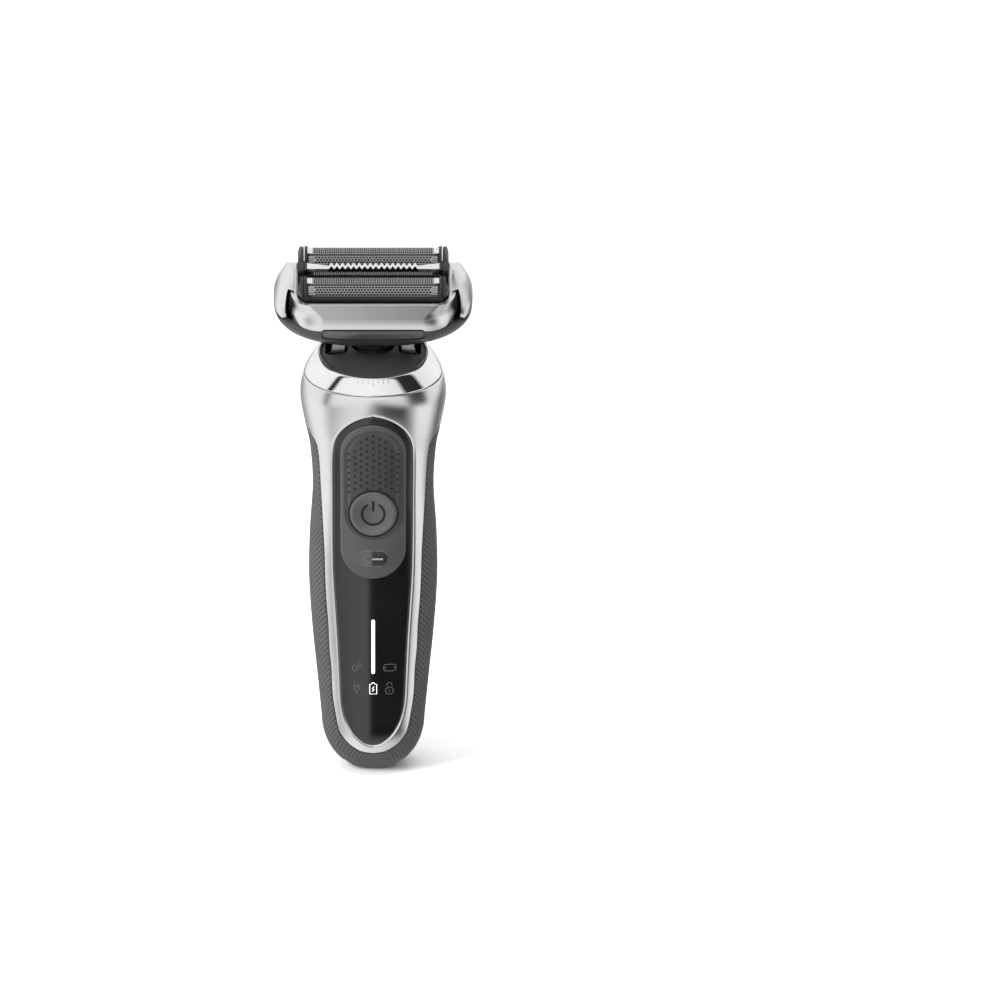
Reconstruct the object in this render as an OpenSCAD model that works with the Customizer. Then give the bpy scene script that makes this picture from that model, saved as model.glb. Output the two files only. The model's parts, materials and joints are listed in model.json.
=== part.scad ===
// Three-element foil shaver. Millimetres. Z runs up the handle, the front faces -Y.
// The origin is the middle of the charging inlet's mouth, at the foot of the handle.

/* [Handle] */
// Width of the handle at its widest, just under the collar
handle_w = 43.6; // [42:0.2:46]
// Thickness of the moulded walls of the handle
wall = 1.8; // [1.6:0.1:2.0]
// Diameter of the round power button
button_d = 14.2; // [12:0.2:14.6]
// How far the power button can be pressed
press = 0.6; // [0.3:0.1:0.6]
// Height of the light bar
light_h = 17.5; // [12:0.5:19]

/* [Inlet] */
// Distance between the two contact pins
pin_pitch = 6.8; // [6.2:0.1:7.2]
// Diameter of a contact pin
pin_d = 1.6; // [1.2:0.1:1.8]
// Depth of the inlet recess
inlet_depth = 7; // [5:0.5:8]

/* [Head] */
// Forward lean of the head at rest, in degrees
head_tilt = 23; // [18:1:26]
// Length of the metal of each foil
foil_l = 39.2; // [36:0.2:39.4]
// Side stroke of the cutters, each way
stroke = 1; // [0.6:0.1:1]
// Blades in each cutter block
blades = 30; // [20:1:34]

/* [Hidden] */

// Shared sizes
sx = handle_w / 43.6;            // width scale of the handle
cap_h = 16;                      // height of the rounded foot
foot_drop = 1.6;                 // the foot is cut flat this far above its pole
seam_s = 126.2;                  // seam between handle and collar, at the sides
top_s = 132.8;                   // upper edge of the collar, at the sides
roll_z = 126;                    // height of the roll axis
stem_y = 3.9;                    // the drive line and both neck axes meet at this depth
pitch_z = 144.65;                // height of the pitch axis
foil_y = 6.6;                    // foil centre, in front of and behind the trimmer
foil_z = 13;                     // foil centre above the pitch axis
foil_r = 4;                      // radius of the foil arch

// Half widths and depths of the handle against height
half_w = [[16, 15.7], [30, 17], [46, 18.5], [62, 19.4], [76, 19.1], [91, 18.2], [104, 19],
    [112, 20.6], [120, 21.8], [126.2, 20.8], [129.5, 19.1], [132.8, 16.7]];
front_d = [[16, 12.5], [30, 13.6], [46, 14.6], [62, 15.2], [76, 15.4], [91, 15.6],
    [104, 16.4], [112, 17.4], [120, 18.4], [126.2, 18], [129.5, 17.1], [132.8, 15.6]];
back_d = [[16, 13], [30, 15.2], [46, 16.8], [62, 17.4], [76, 16.8], [91, 15.6],
    [104, 15.8], [112, 17], [120, 18.2], [126.2, 18], [129.5, 17.1], [132.8, 15.6]];
lean = [[116, 0], [120, 0.02], [126.2, 0.1], [132.8, 0.224]];
// How square the section of the handle is
square_n = [[96, 2.6], [112, 2.5], [120, 2.25], [126.2, 2.07], [132.8, 2]];

// Outlines seen from the front: height, half width
bezel_edge = [[6.8, 0], [7.4, 3.4], [9.3, 6.6], [11.8, 9], [14.4, 10.5], [19.5, 11.6],
    [27, 12.6], [35, 12.9], [42, 13.5], [50, 13.8], [58, 14.4], [65, 14.7], [73, 14.9],
    [81, 15.3], [93, 15.9], [99, 16.2], [104, 16.6], [108, 17.4], [110, 24]];
panel_edge = [[10.1, 0], [11, 2.6], [13, 5.1], [16, 7.2], [19, 8.6], [24, 9.5], [35, 10],
    [45, 10.4], [55, 11], [65, 11.6], [75, 11.9], [90, 12], [105.5, 12], [109, 11.5],
    [112.5, 9.75], [115.5, 6.6], [117.4, 3.3], [118.2, 0]];

// Head plan against height above the pitch axis: half width, half depth
head_x = [[-6, 12], [-4.5, 19], [-3, 23.4], [-1, 26.8], [2, 28.9], [5.4, 29.6],
    [9, 29.15], [13, 27.8], [16, 26.2], [18.6, 24.6]];
head_y = [[-6, 8], [-4.5, 11.5], [-3, 13.4], [-1, 14.6], [2, 15.1], [5.4, 15.2],
    [8.6, 14.5], [12.9, 12.9], [16, 11.6], [18.6, 10]];
head_n = [[-6, 2.6], [-1, 2.9], [4.5, 3.2], [8, 2.5], [12, 2.15], [18.6, 2.05]];

// Smooth lookup in a table of [x, y] rows
function seg(t, x, i = 0) = i >= len(t) - 2 || x < t[i + 1][0] ? i : seg(t, x, i + 1);
function tan_at(t, i) =
    let (a = max(i - 1, 0), b = min(i + 1, len(t) - 1)) (t[b][1] - t[a][1]) / (t[b][0] - t[a][0]);
function smooth(t, x) =
    let (i = seg(t, x), h = t[i + 1][0] - t[i][0], u = max(0, min(1, (x - t[i][0]) / h)),
        p = t[i][1], q = t[i + 1][1], m = tan_at(t, i) * h, n = tan_at(t, i + 1) * h)
    (2 * u ^ 3 - 3 * u ^ 2 + 1) * p + (u ^ 3 - 2 * u ^ 2 + u) * m
    + (3 * u ^ 2 - 2 * u ^ 3) * q + (u ^ 3 - u ^ 2) * n;

// One point of a rounded oblong; n sets how square it is
function oval(a, w, f, b, n) = [
    w * sign(cos(a)) * abs(cos(a)) ^ (2 / n),
    (sin(a) < 0 ? f : b) * sign(sin(a)) * abs(sin(a)) ^ (2 / n)
];

// Section of the handle at height s, drawn in by inset
function foot(s, inset) =
    let (top = cap_h + foot_drop - inset, k = (cap_h - s) / top)
    s >= cap_h ? 1 : sqrt(max(0.0004, 1 - k * k));
function handle_ring(s, inset, count) =
    let (c = foot(s, inset), w = (smooth(half_w, s) * sx - inset) * c,
        f = (smooth(front_d, s) - inset) * c, b = (smooth(back_d, s) - inset) * c,
        k = s < 116 ? 0 : smooth(lean, s))
    [for (i = [0:count - 1]) let (p = oval(i * 360 / count, w, f, b, smooth(square_n, s)))
        [p[0], p[1], s + k * p[1]]];

function head_ring(z, inset, count) =
    let (w = smooth(head_x, z) - inset, d = smooth(head_y, z) - inset)
    [for (i = [0:count - 1]) let (p = oval(i * 360 / count, w, d, d, smooth(head_n, z)))
        [p[0], p[1], z]];

// Solid through a stack of rings that all have the same number of points
module loft(rings) {
    n = len(rings[0]);
    m = len(rings);
    polyhedron([for (r = rings) each r], concat(
        [for (i = [0:m - 2], j = [0:n - 1]) each let (k = (j + 1) % n, a = i * n, b = a + n)
            [[a + j, b + k, a + k], [a + j, b + j, b + k]]],
        [[for (j = [0:n - 1]) j]],
        [[for (j = [n - 1:-1:0]) (m - 1) * n + j]]), convexity = 8);
}

// A group of freeform solids, worked out as one mesh
module meshed() { resize([0, 0, 0]) children(); }

module handle_solid(inset, levels, count = 40) {
    loft([for (s = levels) handle_ring(s, inset, count)]);
}
outer_levels = [0, 1, 2.4, 4.4, 7, 10, 13, 16, 21, 26, 32, 39, 46, 54, 62, 69, 76, 84, 91,
    98, 104, 108, 112, 116, 120, 123.2, seam_s];
function inner_levels(inset) = concat([inset + 0.2],
    [3.2, 5, 8, 12, 16, 24, 34, 46, 62, 76, 91, 104, 112, 120, seam_s + 0.2]);

// Prism seen from the front, from the middle plane forwards
module front_prism(depth = 30) {
    rotate([90, 0, 0]) linear_extrude(depth) children();
}
module edge_shape(edge, grow = 0) {
    polygon(concat([for (p = edge) [p[1] + (p[1] > 0 ? grow : 0), p[0] + (p[0] < 60 ? -grow : grow)]],
        [for (i = [len(edge) - 1:-1:0]) if (edge[i][1] > 0)
            [-edge[i][1] - grow, edge[i][0] + (edge[i][0] < 60 ? -grow : grow)]]));
}
// Upright pill, given its middle, half width and overall height
module pill(zc, half, high) {
    for (s = [-1, 1]) translate([0, zc + s * (high / 2 - half)]) circle(half, $fn = 48);
    translate([-half, zc - high / 2 + half]) square([2 * half, high - 2 * half]);
}
module flat_pill(xc, zc, half_x, half_z) {
    for (s = [-1, 1]) translate([xc + s * (half_x - half_z), zc]) circle(half_z, $fn = 32);
    translate([xc - half_x + half_z, zc - half_z]) square([2 * (half_x - half_z), 2 * half_z]);
}
module stadium(w, d, h) {
    linear_extrude(h) flat_pill(0, 0, w / 2, d / 2);
}

// The part of the shell that is bezel or panel: in front, and right round under the collar
module bezel_region(grow = 0) {
    front_prism() edge_shape(bezel_edge, grow);
    translate([-30, 0, 0]) rotate([90, 0, 90]) linear_extrude(60) polygon([
        [-30, 110 - grow], [0, 110 - grow], [6 + grow, 115], [12 + grow, 122],
        [15 + grow, 124.4], [18 + grow, 130], [-30, 130]]);
}
module shell_slice(near, far, count = 40) {
    difference() {
        handle_solid(near, outer_levels, count);
        handle_solid(far, inner_levels(far), 28);
    }
}

// Handle pieces
module rear_housing() {
    color("dimgray") meshed() difference() {
        shell_slice(0, wall);
        bezel_region(0.04);
        translate([0, 0, -1]) stadium(14.6, 9.8, 8);
        translate([0, 0, 3.2]) stadium(17.4, 12.4, 4);
        translate([0, 8, 114]) rotate([-90, 0, 0]) stadium(12.6, 6.6, 16);
    }
}
module front_bezel() {
    color("silver") meshed() difference() {
        intersection() {
            shell_slice(0, wall);
            bezel_region();
        }
        front_prism() edge_shape(panel_edge, 0.04);
    }
}
module pad_outline() { pill(90.65, 9.8, 49.9); }
module thumb_outline() { pill(96.1, 9.1, 35.8); }
module display_panel() {
    color("black") meshed() difference() {
        intersection() {
            shell_slice(0.15, wall);
            front_prism() edge_shape(panel_edge);
        }
        front_prism() {
            pill(90.65, 9.84, 49.98);
            pill(43.25, 0.62, light_h + 0.04);
        }
    }
}
module button_surround() {
    color("gray") meshed() difference() {
        intersection() {
            difference() {
                loft([for (s = [60, 66, 72, 78, 84, 90, 96, 102, 107, 112, 118])
                    handle_ring(s, -0.35, 40)]);
                handle_solid(wall, inner_levels(wall), 28);
            }
            front_prism() pad_outline();
        }
        front_prism() pill(96.1, 9.15, 35.9);
        translate([0, -14.4, 0]) front_prism() flat_pill(0, 72.3, 4.9, 2.8);
        front_prism() flat_pill(0, 72.3, 3.4, 0.9);
    }
}
module thumb_pad() {
    color("darkgray") meshed() difference() {
        intersection() {
            difference() {
                loft([for (s = [76, 82, 88, 94, 100, 106, 111, 116]) handle_ring(s, -0.2, 40)]);
                handle_solid(wall, inner_levels(wall), 28);
            }
            front_prism() thumb_outline();
        }
        translate([0, 0, 86.7]) rotate([90, 0, 0]) cylinder(r = button_d / 2 + 0.15, h = 30, $fn = 64);
    }
}
module light_bar() {
    color("white") intersection() {
        translate([0, -10.2, 0]) front_prism(4.7) pill(43.25, 0.6, light_h);
        rotate([0, 90, 0]) translate([0, 0, -2]) linear_extrude(4) polygon(concat(
            [for (z = [60:-4:24]) [-z, 0.15 - smooth(front_d, z)]], [[-24, -5], [-60, -5]]));
    }
}
// Flat symbols lying on the panel: battery, cassette, drops, plug, padlock
function panel_y(x, z) =
    -(smooth(front_d, z) - 0.15) * (1 - (abs(x) / (smooth(half_w, z) * sx - 0.15)) ^ 2.6) ^ (1 / 2.6);
module ring2d(r, t) {
    difference() {
        circle(r, $fn = 32);
        circle(r - t, $fn = 32);
    }
}
module on_panel(x, z) {
    translate([x, panel_y(x, z) - 0.05, z])
        rotate([0, 0, atan((panel_y(x + 1, z) - panel_y(x - 1, z)) / 2)])
            rotate([90 - atan((panel_y(x, z + 1) - panel_y(x, z - 1)) / 2), 0, 0])
                linear_extrude(0.12) children();
}
module indicator_symbols() {
    color("gainsboro") {
        on_panel(0, 29.3) difference() {
            union() {
                translate([-1.25, -1.9]) square([2.5, 3.5]);
                translate([-0.6, 1.5]) square([1.2, 0.6]);
            }
            translate([-0.85, -1.5]) square([1.7, 2.7]);
        }
        on_panel(5, 36.3) difference() {
            flat_pill(0, 0, 1.95, 1.15);
            translate([-1.5, 0.2]) square([3, 0.55]);
            translate([-1.5, -0.75]) square([3, 0.55]);
        }
        on_panel(-5.2, 36) {
            translate([-0.4, -0.1]) circle(0.75, $fn = 32);
            translate([-0.4, -0.1]) polygon([[-0.66, 0.36], [0.66, 0.36], [0, 1.7]]);
            translate([1.2, 0.8]) circle(0.55, $fn = 32);
        }
        on_panel(-5, 29.3) {
            translate([-1, -0.4]) square([2, 1.1]);
            for (s = [-1, 1]) translate([s * 0.6 - 0.15, 0.65]) square([0.3, 0.9]);
            translate([-0.15, -1.7]) square([0.3, 1.4]);
        }
        on_panel(4.9, 28.6) {
            ring2d(1.25, 0.3);
            translate([0, 1.5]) difference() {
                ring2d(0.95, 0.3);
                translate([-1, -1.6]) square([2, 1.3]);
            }
        }
    }
}
module power_button() {
    color("gray") difference() {
        union() {
            translate([0, -12.5, 86.7]) rotate([90, 0, 0]) cylinder(r = button_d / 2, h = 3.45, $fn = 64);
            translate([0, -12.05, 86.7]) rotate([90, 0, 0]) cylinder(r = button_d / 2 + 0.6, h = 0.55, $fn = 64);
            translate([0, -11.3 - press, 86.7]) rotate([90, 0, 0]) cylinder(r = 1.6, h = 1, $fn = 32);
        }
        translate([0, -54.4, 86.7]) sphere(r = 39, $fn = 128);
    }
}
module lock_slider() {
    color("black") {
        translate([2.1, -14.6, 0]) front_prism(1.15) translate([0, 72.3]) circle(2.5, $fn = 48);
        translate([2.1, -12.6, 0]) front_prism(2.4) translate([0, 72.3]) circle(0.75, $fn = 32);
        translate([2.1, -12.0, 0]) front_prism(0.9) flat_pill(0, 72.3, 2.2, 1.7);
    }
}
module lock_switch() {
    color("black") translate([-4, -11.5, 70.3]) cube([8, 2.55, 4]);
}
// Levels and inset of the bore in the collar ring, which the cap fills
bore_levels = [seam_s - 0.1, 127.4, 128.6, 129.8, 131, 132, top_s];
function bore_inset(s) = s > 130.5 ? 1.3 : 2.2;
module collar_ring() {
    color("silver") meshed() difference() {
        loft([for (s = [seam_s + 0.05, 127.4, 128.6, 129.8, 131, 132, top_s])
            handle_ring(s, s < 127 ? 0.25 : s > 132.5 ? 0.35 : 0, 40)]);
        loft([for (s = concat(bore_levels, [top_s + 0.6])) handle_ring(s, bore_inset(s), 40)]);
    }
}
// Slits and the middle hole that the neck passes through
module neck_openings() {
    for (s = [-1, 1]) translate([s * 10.9 - 3.4, -1.6, 120]) cube([6.8, 11, 24]);
    translate([0, stem_y, 120]) cylinder(r = 6.7, h = 24, $fn = 48);
}
module collar_cap() {
    color("dimgray") meshed() difference() {
        loft(concat([for (s = bore_levels) handle_ring(s, bore_inset(s) + 0.06, 40)],
            [for (p = [[0.7, 4.5], [1.2, 9]]) handle_ring(top_s, p[1], 40)
                + [for (i = [0:39]) [0, 0, p[0]]]]));
        loft(concat([for (s = [126, 127.4, 128.6, 129.8, 131]) handle_ring(s, 3.1, 40)],
            [handle_ring(131, 7, 40) + [for (i = [0:39]) [0, 0, 1.28]]]));
        neck_openings();
    }
}
module collar_base() {
    color("slategray") {
        difference() {
            translate([0, 0, 118.3]) stadium(34, 25, 2);
            translate([-8, -1, 117]) cube([16, 10, 5]);
        }
        for (y = [-5.6, 11.8]) difference() {
            translate([-4.5, y, 120.2]) cube([9, 2, 8.4]);
            translate([0, y - 1, roll_z]) rotate([-90, 0, 0]) cylinder(r = 1.55, h = 4, $fn = 32);
        }
    }
}
module chassis() {
    color("slategray") difference() {
        translate([-10, -7.2, 16]) cube([20, 1.6, 96]);
        for (z = [26, 98], s = [-1, 1]) translate([s * 7.5, -5, z])
            rotate([90, 0, 0]) cylinder(r = 0.8, h = 3, $fn = 24);
        for (z = [34, 50, 66]) translate([-5, -8, z]) cube([10, 4, 9]);
    }
}
module main_board() {
    color("darkgreen") difference() {
        translate([-9, -8.9, 22]) cube([18, 1.6, 80]);
        for (z = [26, 98], s = [-1, 1]) translate([s * 7.5, -6, z])
            rotate([90, 0, 0]) cylinder(r = 1, h = 4, $fn = 24);
    }
}
module status_leds() {
    color("ivory") {
        for (i = [0:4]) translate([-0.6, -9.8, 36 + i * 3.4]) cube([1.2, 0.85, 1.2]);
        for (p = [[0, 29.3], [5, 36.3], [-5, 36.3], [-5, 29.3], [5, 29]])
            translate([p[0] - 0.6, -9.8, p[1] - 0.6]) cube([1.2, 0.85, 1.2]);
    }
}
module tactile_switch() {
    color("black") {
        translate([-3, -10.8, 83.7]) cube([6, 1.85, 6]);
        translate([0, -10.7, 86.7]) rotate([90, 0, 0]) cylinder(r = 1.7, h = 0.5, $fn = 32);
    }
}
module board_screws() {
    color("silver") for (z = [26, 98], s = [-1, 1]) translate([s * 7.5, -8.95, z]) rotate([-90, 0, 0]) {
        cylinder(r = 0.75, h = 3, $fn = 24);
        difference() {
            translate([0, 0, -0.9]) cylinder(r = 1.4, h = 0.9, $fn = 24);
            translate([-1.1, -0.2, -1]) cube([2.2, 0.4, 0.5]);
            translate([-0.2, -1.1, -1]) cube([0.4, 2.2, 0.5]);
        }
    }
}
module battery_cell() {
    color("steelblue") translate([0, 3.6, 26]) {
        cylinder(r = 7.05, h = 48.5, $fn = 64);
        translate([0, 0, 48]) cylinder(r = 2.6, h = 1.4, $fn = 32);
    }
}
module battery_tabs() {
    color("silver") {
        for (z = [25.4, 75.5]) translate([-2, -5.5, z]) cube([4, 10, 0.4]);
        for (z = [[22.4, 3.4], [75.5, 4]]) translate([-2, -5.5, z[0]]) cube([4, 0.4, z[1]]);
    }
}
module motor_cradle() {
    color("slategray") {
        translate([-11.4, -3.4, 84]) cube([22.8, 14, 2.4]);
        for (s = [-1, 1]) difference() {
            translate([s * 10.4 - 1, -3.4, 86.2]) cube([2, 14, 22]);
            for (y = [-0.9, 8.1]) translate([s * 10.4 - 2, y, 105.6]) rotate([0, 90, 0])
                cylinder(r = 1.02, h = 4, $fn = 24);
        }
    }
}
module motor_core() {
    color("gray") {
        translate([-9, -3, 86.5]) cube([18, 13.2, 6]);
        for (x = [[-9, 3], [-2, 4], [6, 3]]) translate([x[0], -3, 92.4]) cube([x[1], 13.2, 8.6]);
    }
}
module motor_coil() {
    color("chocolate") translate([0, 3.6, 0]) difference() {
        rounded_box(5.4, 9.1, 2.6, 93, 100.6);
        translate([-2.1, -6.75, 92]) cube([4.2, 13.5, 10]);
    }
}
module motor_rods() {
    color("silver") for (y = [-0.9, 8.1]) translate([-11.3, y, 105.6]) rotate([0, 90, 0])
        cylinder(r = 1, h = 22.6, $fn = 24);
}
module armature() {
    color("dimgray") difference() {
        translate([-6.5, -2.8, 103.4]) cube([13, 12.8, 4.4]);
        for (y = [-0.9, 8.1]) translate([-8, y, 105.6]) rotate([0, 90, 0])
            cylinder(r = 1.08, h = 16, $fn = 24);
        translate([0, stem_y, 103]) cylinder(r = 1.4, h = 6, $fn = 24);
    }
}
module armature_magnets() {
    color("silver") for (s = [-1, 1]) translate([s * 3.4 - 2.4, -1.8, 101.8]) cube([4.8, 10.8, 1.55]);
}
module drive_pin() {
    color("silver") translate([0, stem_y, 0]) {
        translate([0, 0, 103.6]) cylinder(r = 1.38, h = roll_z - 103.6, $fn = 24);
        translate([0, 0, roll_z]) sphere(r = 1.9, $fn = 48);
    }
}
module inlet_socket() {
    color("black") difference() {
        union() {
            stadium(14.4, 9.6, inlet_depth + 2);
            translate([0, 0, 4.4]) stadium(17.2, 12.2, 1.2);
        }
        translate([0, 0, -1]) stadium(12.2, 7.4, inlet_depth + 1);
        for (s = [-1, 1]) translate([s * pin_pitch / 2, 0, -1])
            cylinder(r = pin_d / 2 + 0.01, h = inlet_depth + 4, $fn = 24);
    }
}
module contact_pins() {
    color("gold") for (s = [-1, 1]) translate([s * pin_pitch / 2, 0, 0]) {
        translate([0, 0, 1.6]) cylinder(r = pin_d / 2, h = inlet_depth + 4, $fn = 24);
        translate([0, 0, inlet_depth + 2.05]) cylinder(r = pin_d / 2 + 0.5, h = 0.6, $fn = 24);
    }
}
module inlet_seal() {
    color("orangered") translate([0, 0, 3.3]) difference() {
        stadium(17.2, 12.2, 1);
        translate([0, 0, -1]) stadium(14.5, 9.7, 3);
    }
}
// Push latch at the back, under the collar
module release_latch() {
    color("dimgray") {
        translate([0, 14.2, 114]) rotate([-90, 0, 0]) stadium(12, 6, 2.9);
        translate([0, 13, 114]) rotate([-90, 0, 0]) stadium(14.4, 8, 1.3);
    }
}

// Neck pieces
module strut(s) {
    translate([0, stem_y + 3.3, 0]) rotate([90, 0, 0]) linear_extrude(6.6) polygon([
        [s * 8.2, 127.5], [s * 12.6, 127.5], [s * 12.6, 132], [s * 10.9, 138.6],
        [s * 10.9, pitch_z], [s * 7.7, pitch_z], [s * 7.7, 139], [s * 8.6, 133]]);
    translate([s > 0 ? 7.7 : -10.9, stem_y, pitch_z]) rotate([0, 90, 0]) cylinder(r = 3.3, h = 3.2, $fn = 48);
}
module neck_yoke() {
    color("silver") difference() {
        union() {
            translate([0, stem_y, roll_z]) rounded_box(12.6, 7.2, 5, -2.6, 2.4);
            for (s = [-1, 1]) strut(s);
        }
        translate([0, stem_y, roll_z - 4]) cylinder(r = 5.1, h = 8, $fn = 48);
        translate([0, stem_y - 8, roll_z]) rotate([-90, 0, 0]) cylinder(r = 1.5, h = 16, $fn = 32);
        for (s = [-1, 1]) translate([s * 9.3 - 3, stem_y, pitch_z]) rotate([0, 90, 0])
            cylinder(r = 1.56, h = 6, $fn = 32);
    }
}
module roll_pins() {
    color("silver") for (y = [-5.2, 9.2]) translate([0, y, roll_z]) rotate([-90, 0, 0])
        cylinder(r = 1.48, h = 4, $fn = 32);
}
module neck_boot() {
    color("black") translate([0, stem_y, roll_z + 2.45]) rotate_extrude($fn = 64) polygon([
        [4.4, 0], [5.7, 0], [5.7, 1.2], [5.1, 2], [5.6, 3], [5, 4], [5.4, 5], [4.8, 6],
        [5, 7], [4.2, 8.6], [3.5, 8.6], [4.1, 7], [4, 5], [4.3, 3]]);
}
module drive_lever() {
    color("white") translate([0, stem_y, 0]) {
        // socket astride the lower ball, ball at the top
        for (s = [-1, 1]) translate([s * 2.45 - 0.45, -1.4, roll_z - 2]) cube([0.9, 2.8, 4.3]);
        translate([-2.9, -1.4, roll_z + 2.1]) cube([5.8, 2.8, 1.2]);
        translate([0, 0, roll_z + 3]) cylinder(r = 1.3, h = pitch_z - roll_z - 3, $fn = 32);
        translate([0, 0, pitch_z]) sphere(r = 1.9, $fn = 48);
    }
}

// Head pieces, drawn about the pitch axis and then leaned forward
module in_head() {
    translate([0, stem_y, pitch_z]) rotate([head_tilt, 0, 0]) children();
}
head_levels = [-6, -5.2, -4.5, -3.7, -3, -2, -1, 0.5, 2, 3.7, 5.4, 7, 8.6, 10, 11.5, 12.9,
    14.5, 16, 17.4, 18.6];
module head_solid(lo, hi, inset = 0, count = 48) {
    loft([for (z = concat([lo], [for (z = head_levels) if (z > lo + 0.2 && z < hi - 0.2) z], [hi]))
        head_ring(z, inset, count)]);
}
module rounded_box(hx, hy, r, z0, z1) {
    translate([0, 0, z0]) linear_extrude(z1 - z0) {
        for (a = [-1, 1], b = [-1, 1]) translate([a * (hx - r), b * (hy - r)]) circle(r, $fn = 32);
        square([2 * hx, 2 * (hy - r)], center = true);
        square([2 * (hx - r), 2 * hy], center = true);
    }
}
module head_shell() {
    color("dimgray") in_head() meshed() difference() {
        head_solid(-6, 4.5);
        head_solid(-4.6, 6, 1.6, 32);
        rounded_box(13.4, 9.7, 3, -8, -3);
        rounded_box(16.7, 4, 0.5, -8, -0.5);
        // pocket of the grip bar
        translate([-15.1, -18, 0.6]) cube([30.2, 4.4, 3.6]);
    }
}
module grip_bar() {
    color("gray") in_head() meshed() intersection() {
        head_solid(-1, 5, 0.3);
        translate([-14.8, -18, 0.8]) cube([29.6, 4.3, 3.2]);
    }
}
// Bracket outline against height: half width, half depth, corner radius
frame_rings = [[4.6, 24.85, 15.2, 9.4], [5.8, 24.85, 15.2, 9.7], [7.2, 24.85, 14.9, 10],
    [8.6, 24.85, 14.5, 10.2], [10, 24.7, 14.1, 9], [11.5, 24.5, 13.5, 7.3], [12.84, 24.3, 12.95, 5.6]];
function frame_ring(q, count) = [for (i = [0:count - 1])
    let (a = (i + 0.5) * 360 / count)
    [sign(cos(a)) * (q[1] - q[3]) + q[3] * cos(a), sign(sin(a)) * (q[2] - q[3]) + q[3] * sin(a), q[0]]];
module head_frame() {
    color("silver") in_head() meshed() difference() {
        loft([for (q = frame_rings) frame_ring(q, 48)]);
        rounded_box(22.8, 12.05, 4.6, 6.2, 30);
        rounded_box(21, 10.4, 3, 3, 7.5);
        // lower rim at the back
        rotate([90, 0, 90]) translate([0, 0, -30]) linear_extrude(60)
            polygon([[4, 12.9], [16, 5.7], [16, 20], [4, 20]]);
    }
}
module head_base() {
    color("slategray") in_head() difference() {
        union() {
            rounded_box(20.6, 10, 3, 2.6, 4.4);
            for (s = [-1, 1]) {
                translate([s * 12.4 - 1.1, -3, 0]) cube([2.2, 6, 3]);
                translate([s * 12.4 - 1.1, 0, 0]) rotate([0, 90, 0]) cylinder(r = 3, h = 2.2, $fn = 48);
            }
        }
        for (s = [-1, 1]) {
            translate([s * 12.4 - 2, 0, 0]) rotate([0, 90, 0]) cylinder(r = 1.5, h = 4, $fn = 32);
            translate([s * 17.6, 0, 0]) cylinder(r = 1.05, h = 8, $fn = 24);
            translate([s * 9.3 - 2.1, -4.6, -1]) cube([4.2, 9.2, 4.6]);
        }
        translate([-4.6, -2.6, 0]) cube([9.2, 5.2, 8]);
    }
}
module base_screws() {
    color("silver") in_head() for (s = [-1, 1]) translate([s * 17.6, 0, 4.45]) {
        translate([0, 0, -3.4]) cylinder(r = 1, h = 3.5, $fn = 24);
        difference() {
            cylinder(r = 1.9, h = 1.1, $fn = 32);
            translate([-1.4, -0.25, 0.6]) cube([2.8, 0.5, 1]);
            translate([-0.25, -1.4, 0.6]) cube([0.5, 2.8, 1]);
        }
    }
}
module pitch_pins() {
    color("silver") in_head() for (s = [-1, 1]) translate([s > 0 ? 7.2 : -13.6, 0, 0])
        rotate([0, 90, 0]) cylinder(r = 1.48, h = 6.4, $fn = 32);
}
module drive_carriage() {
    color("white") in_head() {
        for (s = [-1, 1]) translate([s * 2.5 - 0.5, -2, -2]) cube([1, 4, 7]);
        rounded_box(7, 9.4, 1, 4.9, 6.3);
        for (y = [-foil_y, 0, foil_y]) translate([-1.4, y - 1, 6.2]) cube([2.8, 2, y == 0 ? 4.8 : 5.1]);
    }
}
module ear_button(s) {
    color("silver") in_head() meshed() intersection() {
        head_solid(4.9, 18.6);
        union() {
            translate([s * 25.65 - (s > 0 ? 0 : 8), -20, 0]) cube([8, 40, 30]);
            translate([s * 23.3 - (s > 0 ? 0 : 8), -20, 13.05]) cube([8, 40, 17]);
        }
        translate([20 * s - 20, 0, 0]) rotate([90, 0, 90]) linear_extrude(40) polygon([
            [-9.6, 4], [9.4, 4], [9.2, 8], [7.9, 10.5], [6, 12.7], [4, 14.8], [2, 16.6], [0, 18.1],
            [-2, 18.4], [-4, 17.8], [-6, 16.4], [-7.8, 14.2], [-9, 11.4], [-9.6, 8]]);
    }
}
module ear_button_left() { ear_button(-1); }
module ear_button_right() { ear_button(1); }

// Cassette pieces
module cassette_frame() {
    color("black") in_head() difference() {
        union() {
            rounded_box(22.4, 11.7, 4.4, 6.7, 11.4);
            intersection() {
                rounded_box(22.4, 11.7, 4.4, 9, 17);
                for (s = [-1, 1]) translate([s * 21.5 - 0.9, 0, 0]) rotate([90, 0, 90])
                    linear_extrude(1.8) polygon([[-10.4, 9], [10.4, 9], [10.2, 13], [8.4, 15.4],
                        [5, 16.2], [-5, 16.2], [-8.4, 15.4], [-10.2, 13]]);
            }
        }
        for (y = [-foil_y, foil_y]) box_at(y, 20.6, 4.62, 9, 20);
        box_at(0, 20.6, 1.75, 9, 20);
        for (y = [-foil_y, 0, foil_y]) translate([-5.2, y - 1.6, 5]) cube([10.4, 3.2, 6]);
    }
}
module box_at(y, hx, hy, z0, z1) {
    translate([-hx, y - hy, z0]) cube([2 * hx, 2 * hy, z1 - z0]);
}
module cassette_springs() {
    color("silver") in_head() for (y = [-foil_y, 0, foil_y], x = [-16.5, 16.5]) translate([x, y, 9.05])
        rotate_extrude($fn = 32) polygon([[0.7, 0], [1.25, 0], [1.25, 0.25], [0.95, 0.35], [1.25, 0.45],
            [1.25, 0.7], [0.7, 0.7]]);
}
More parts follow.
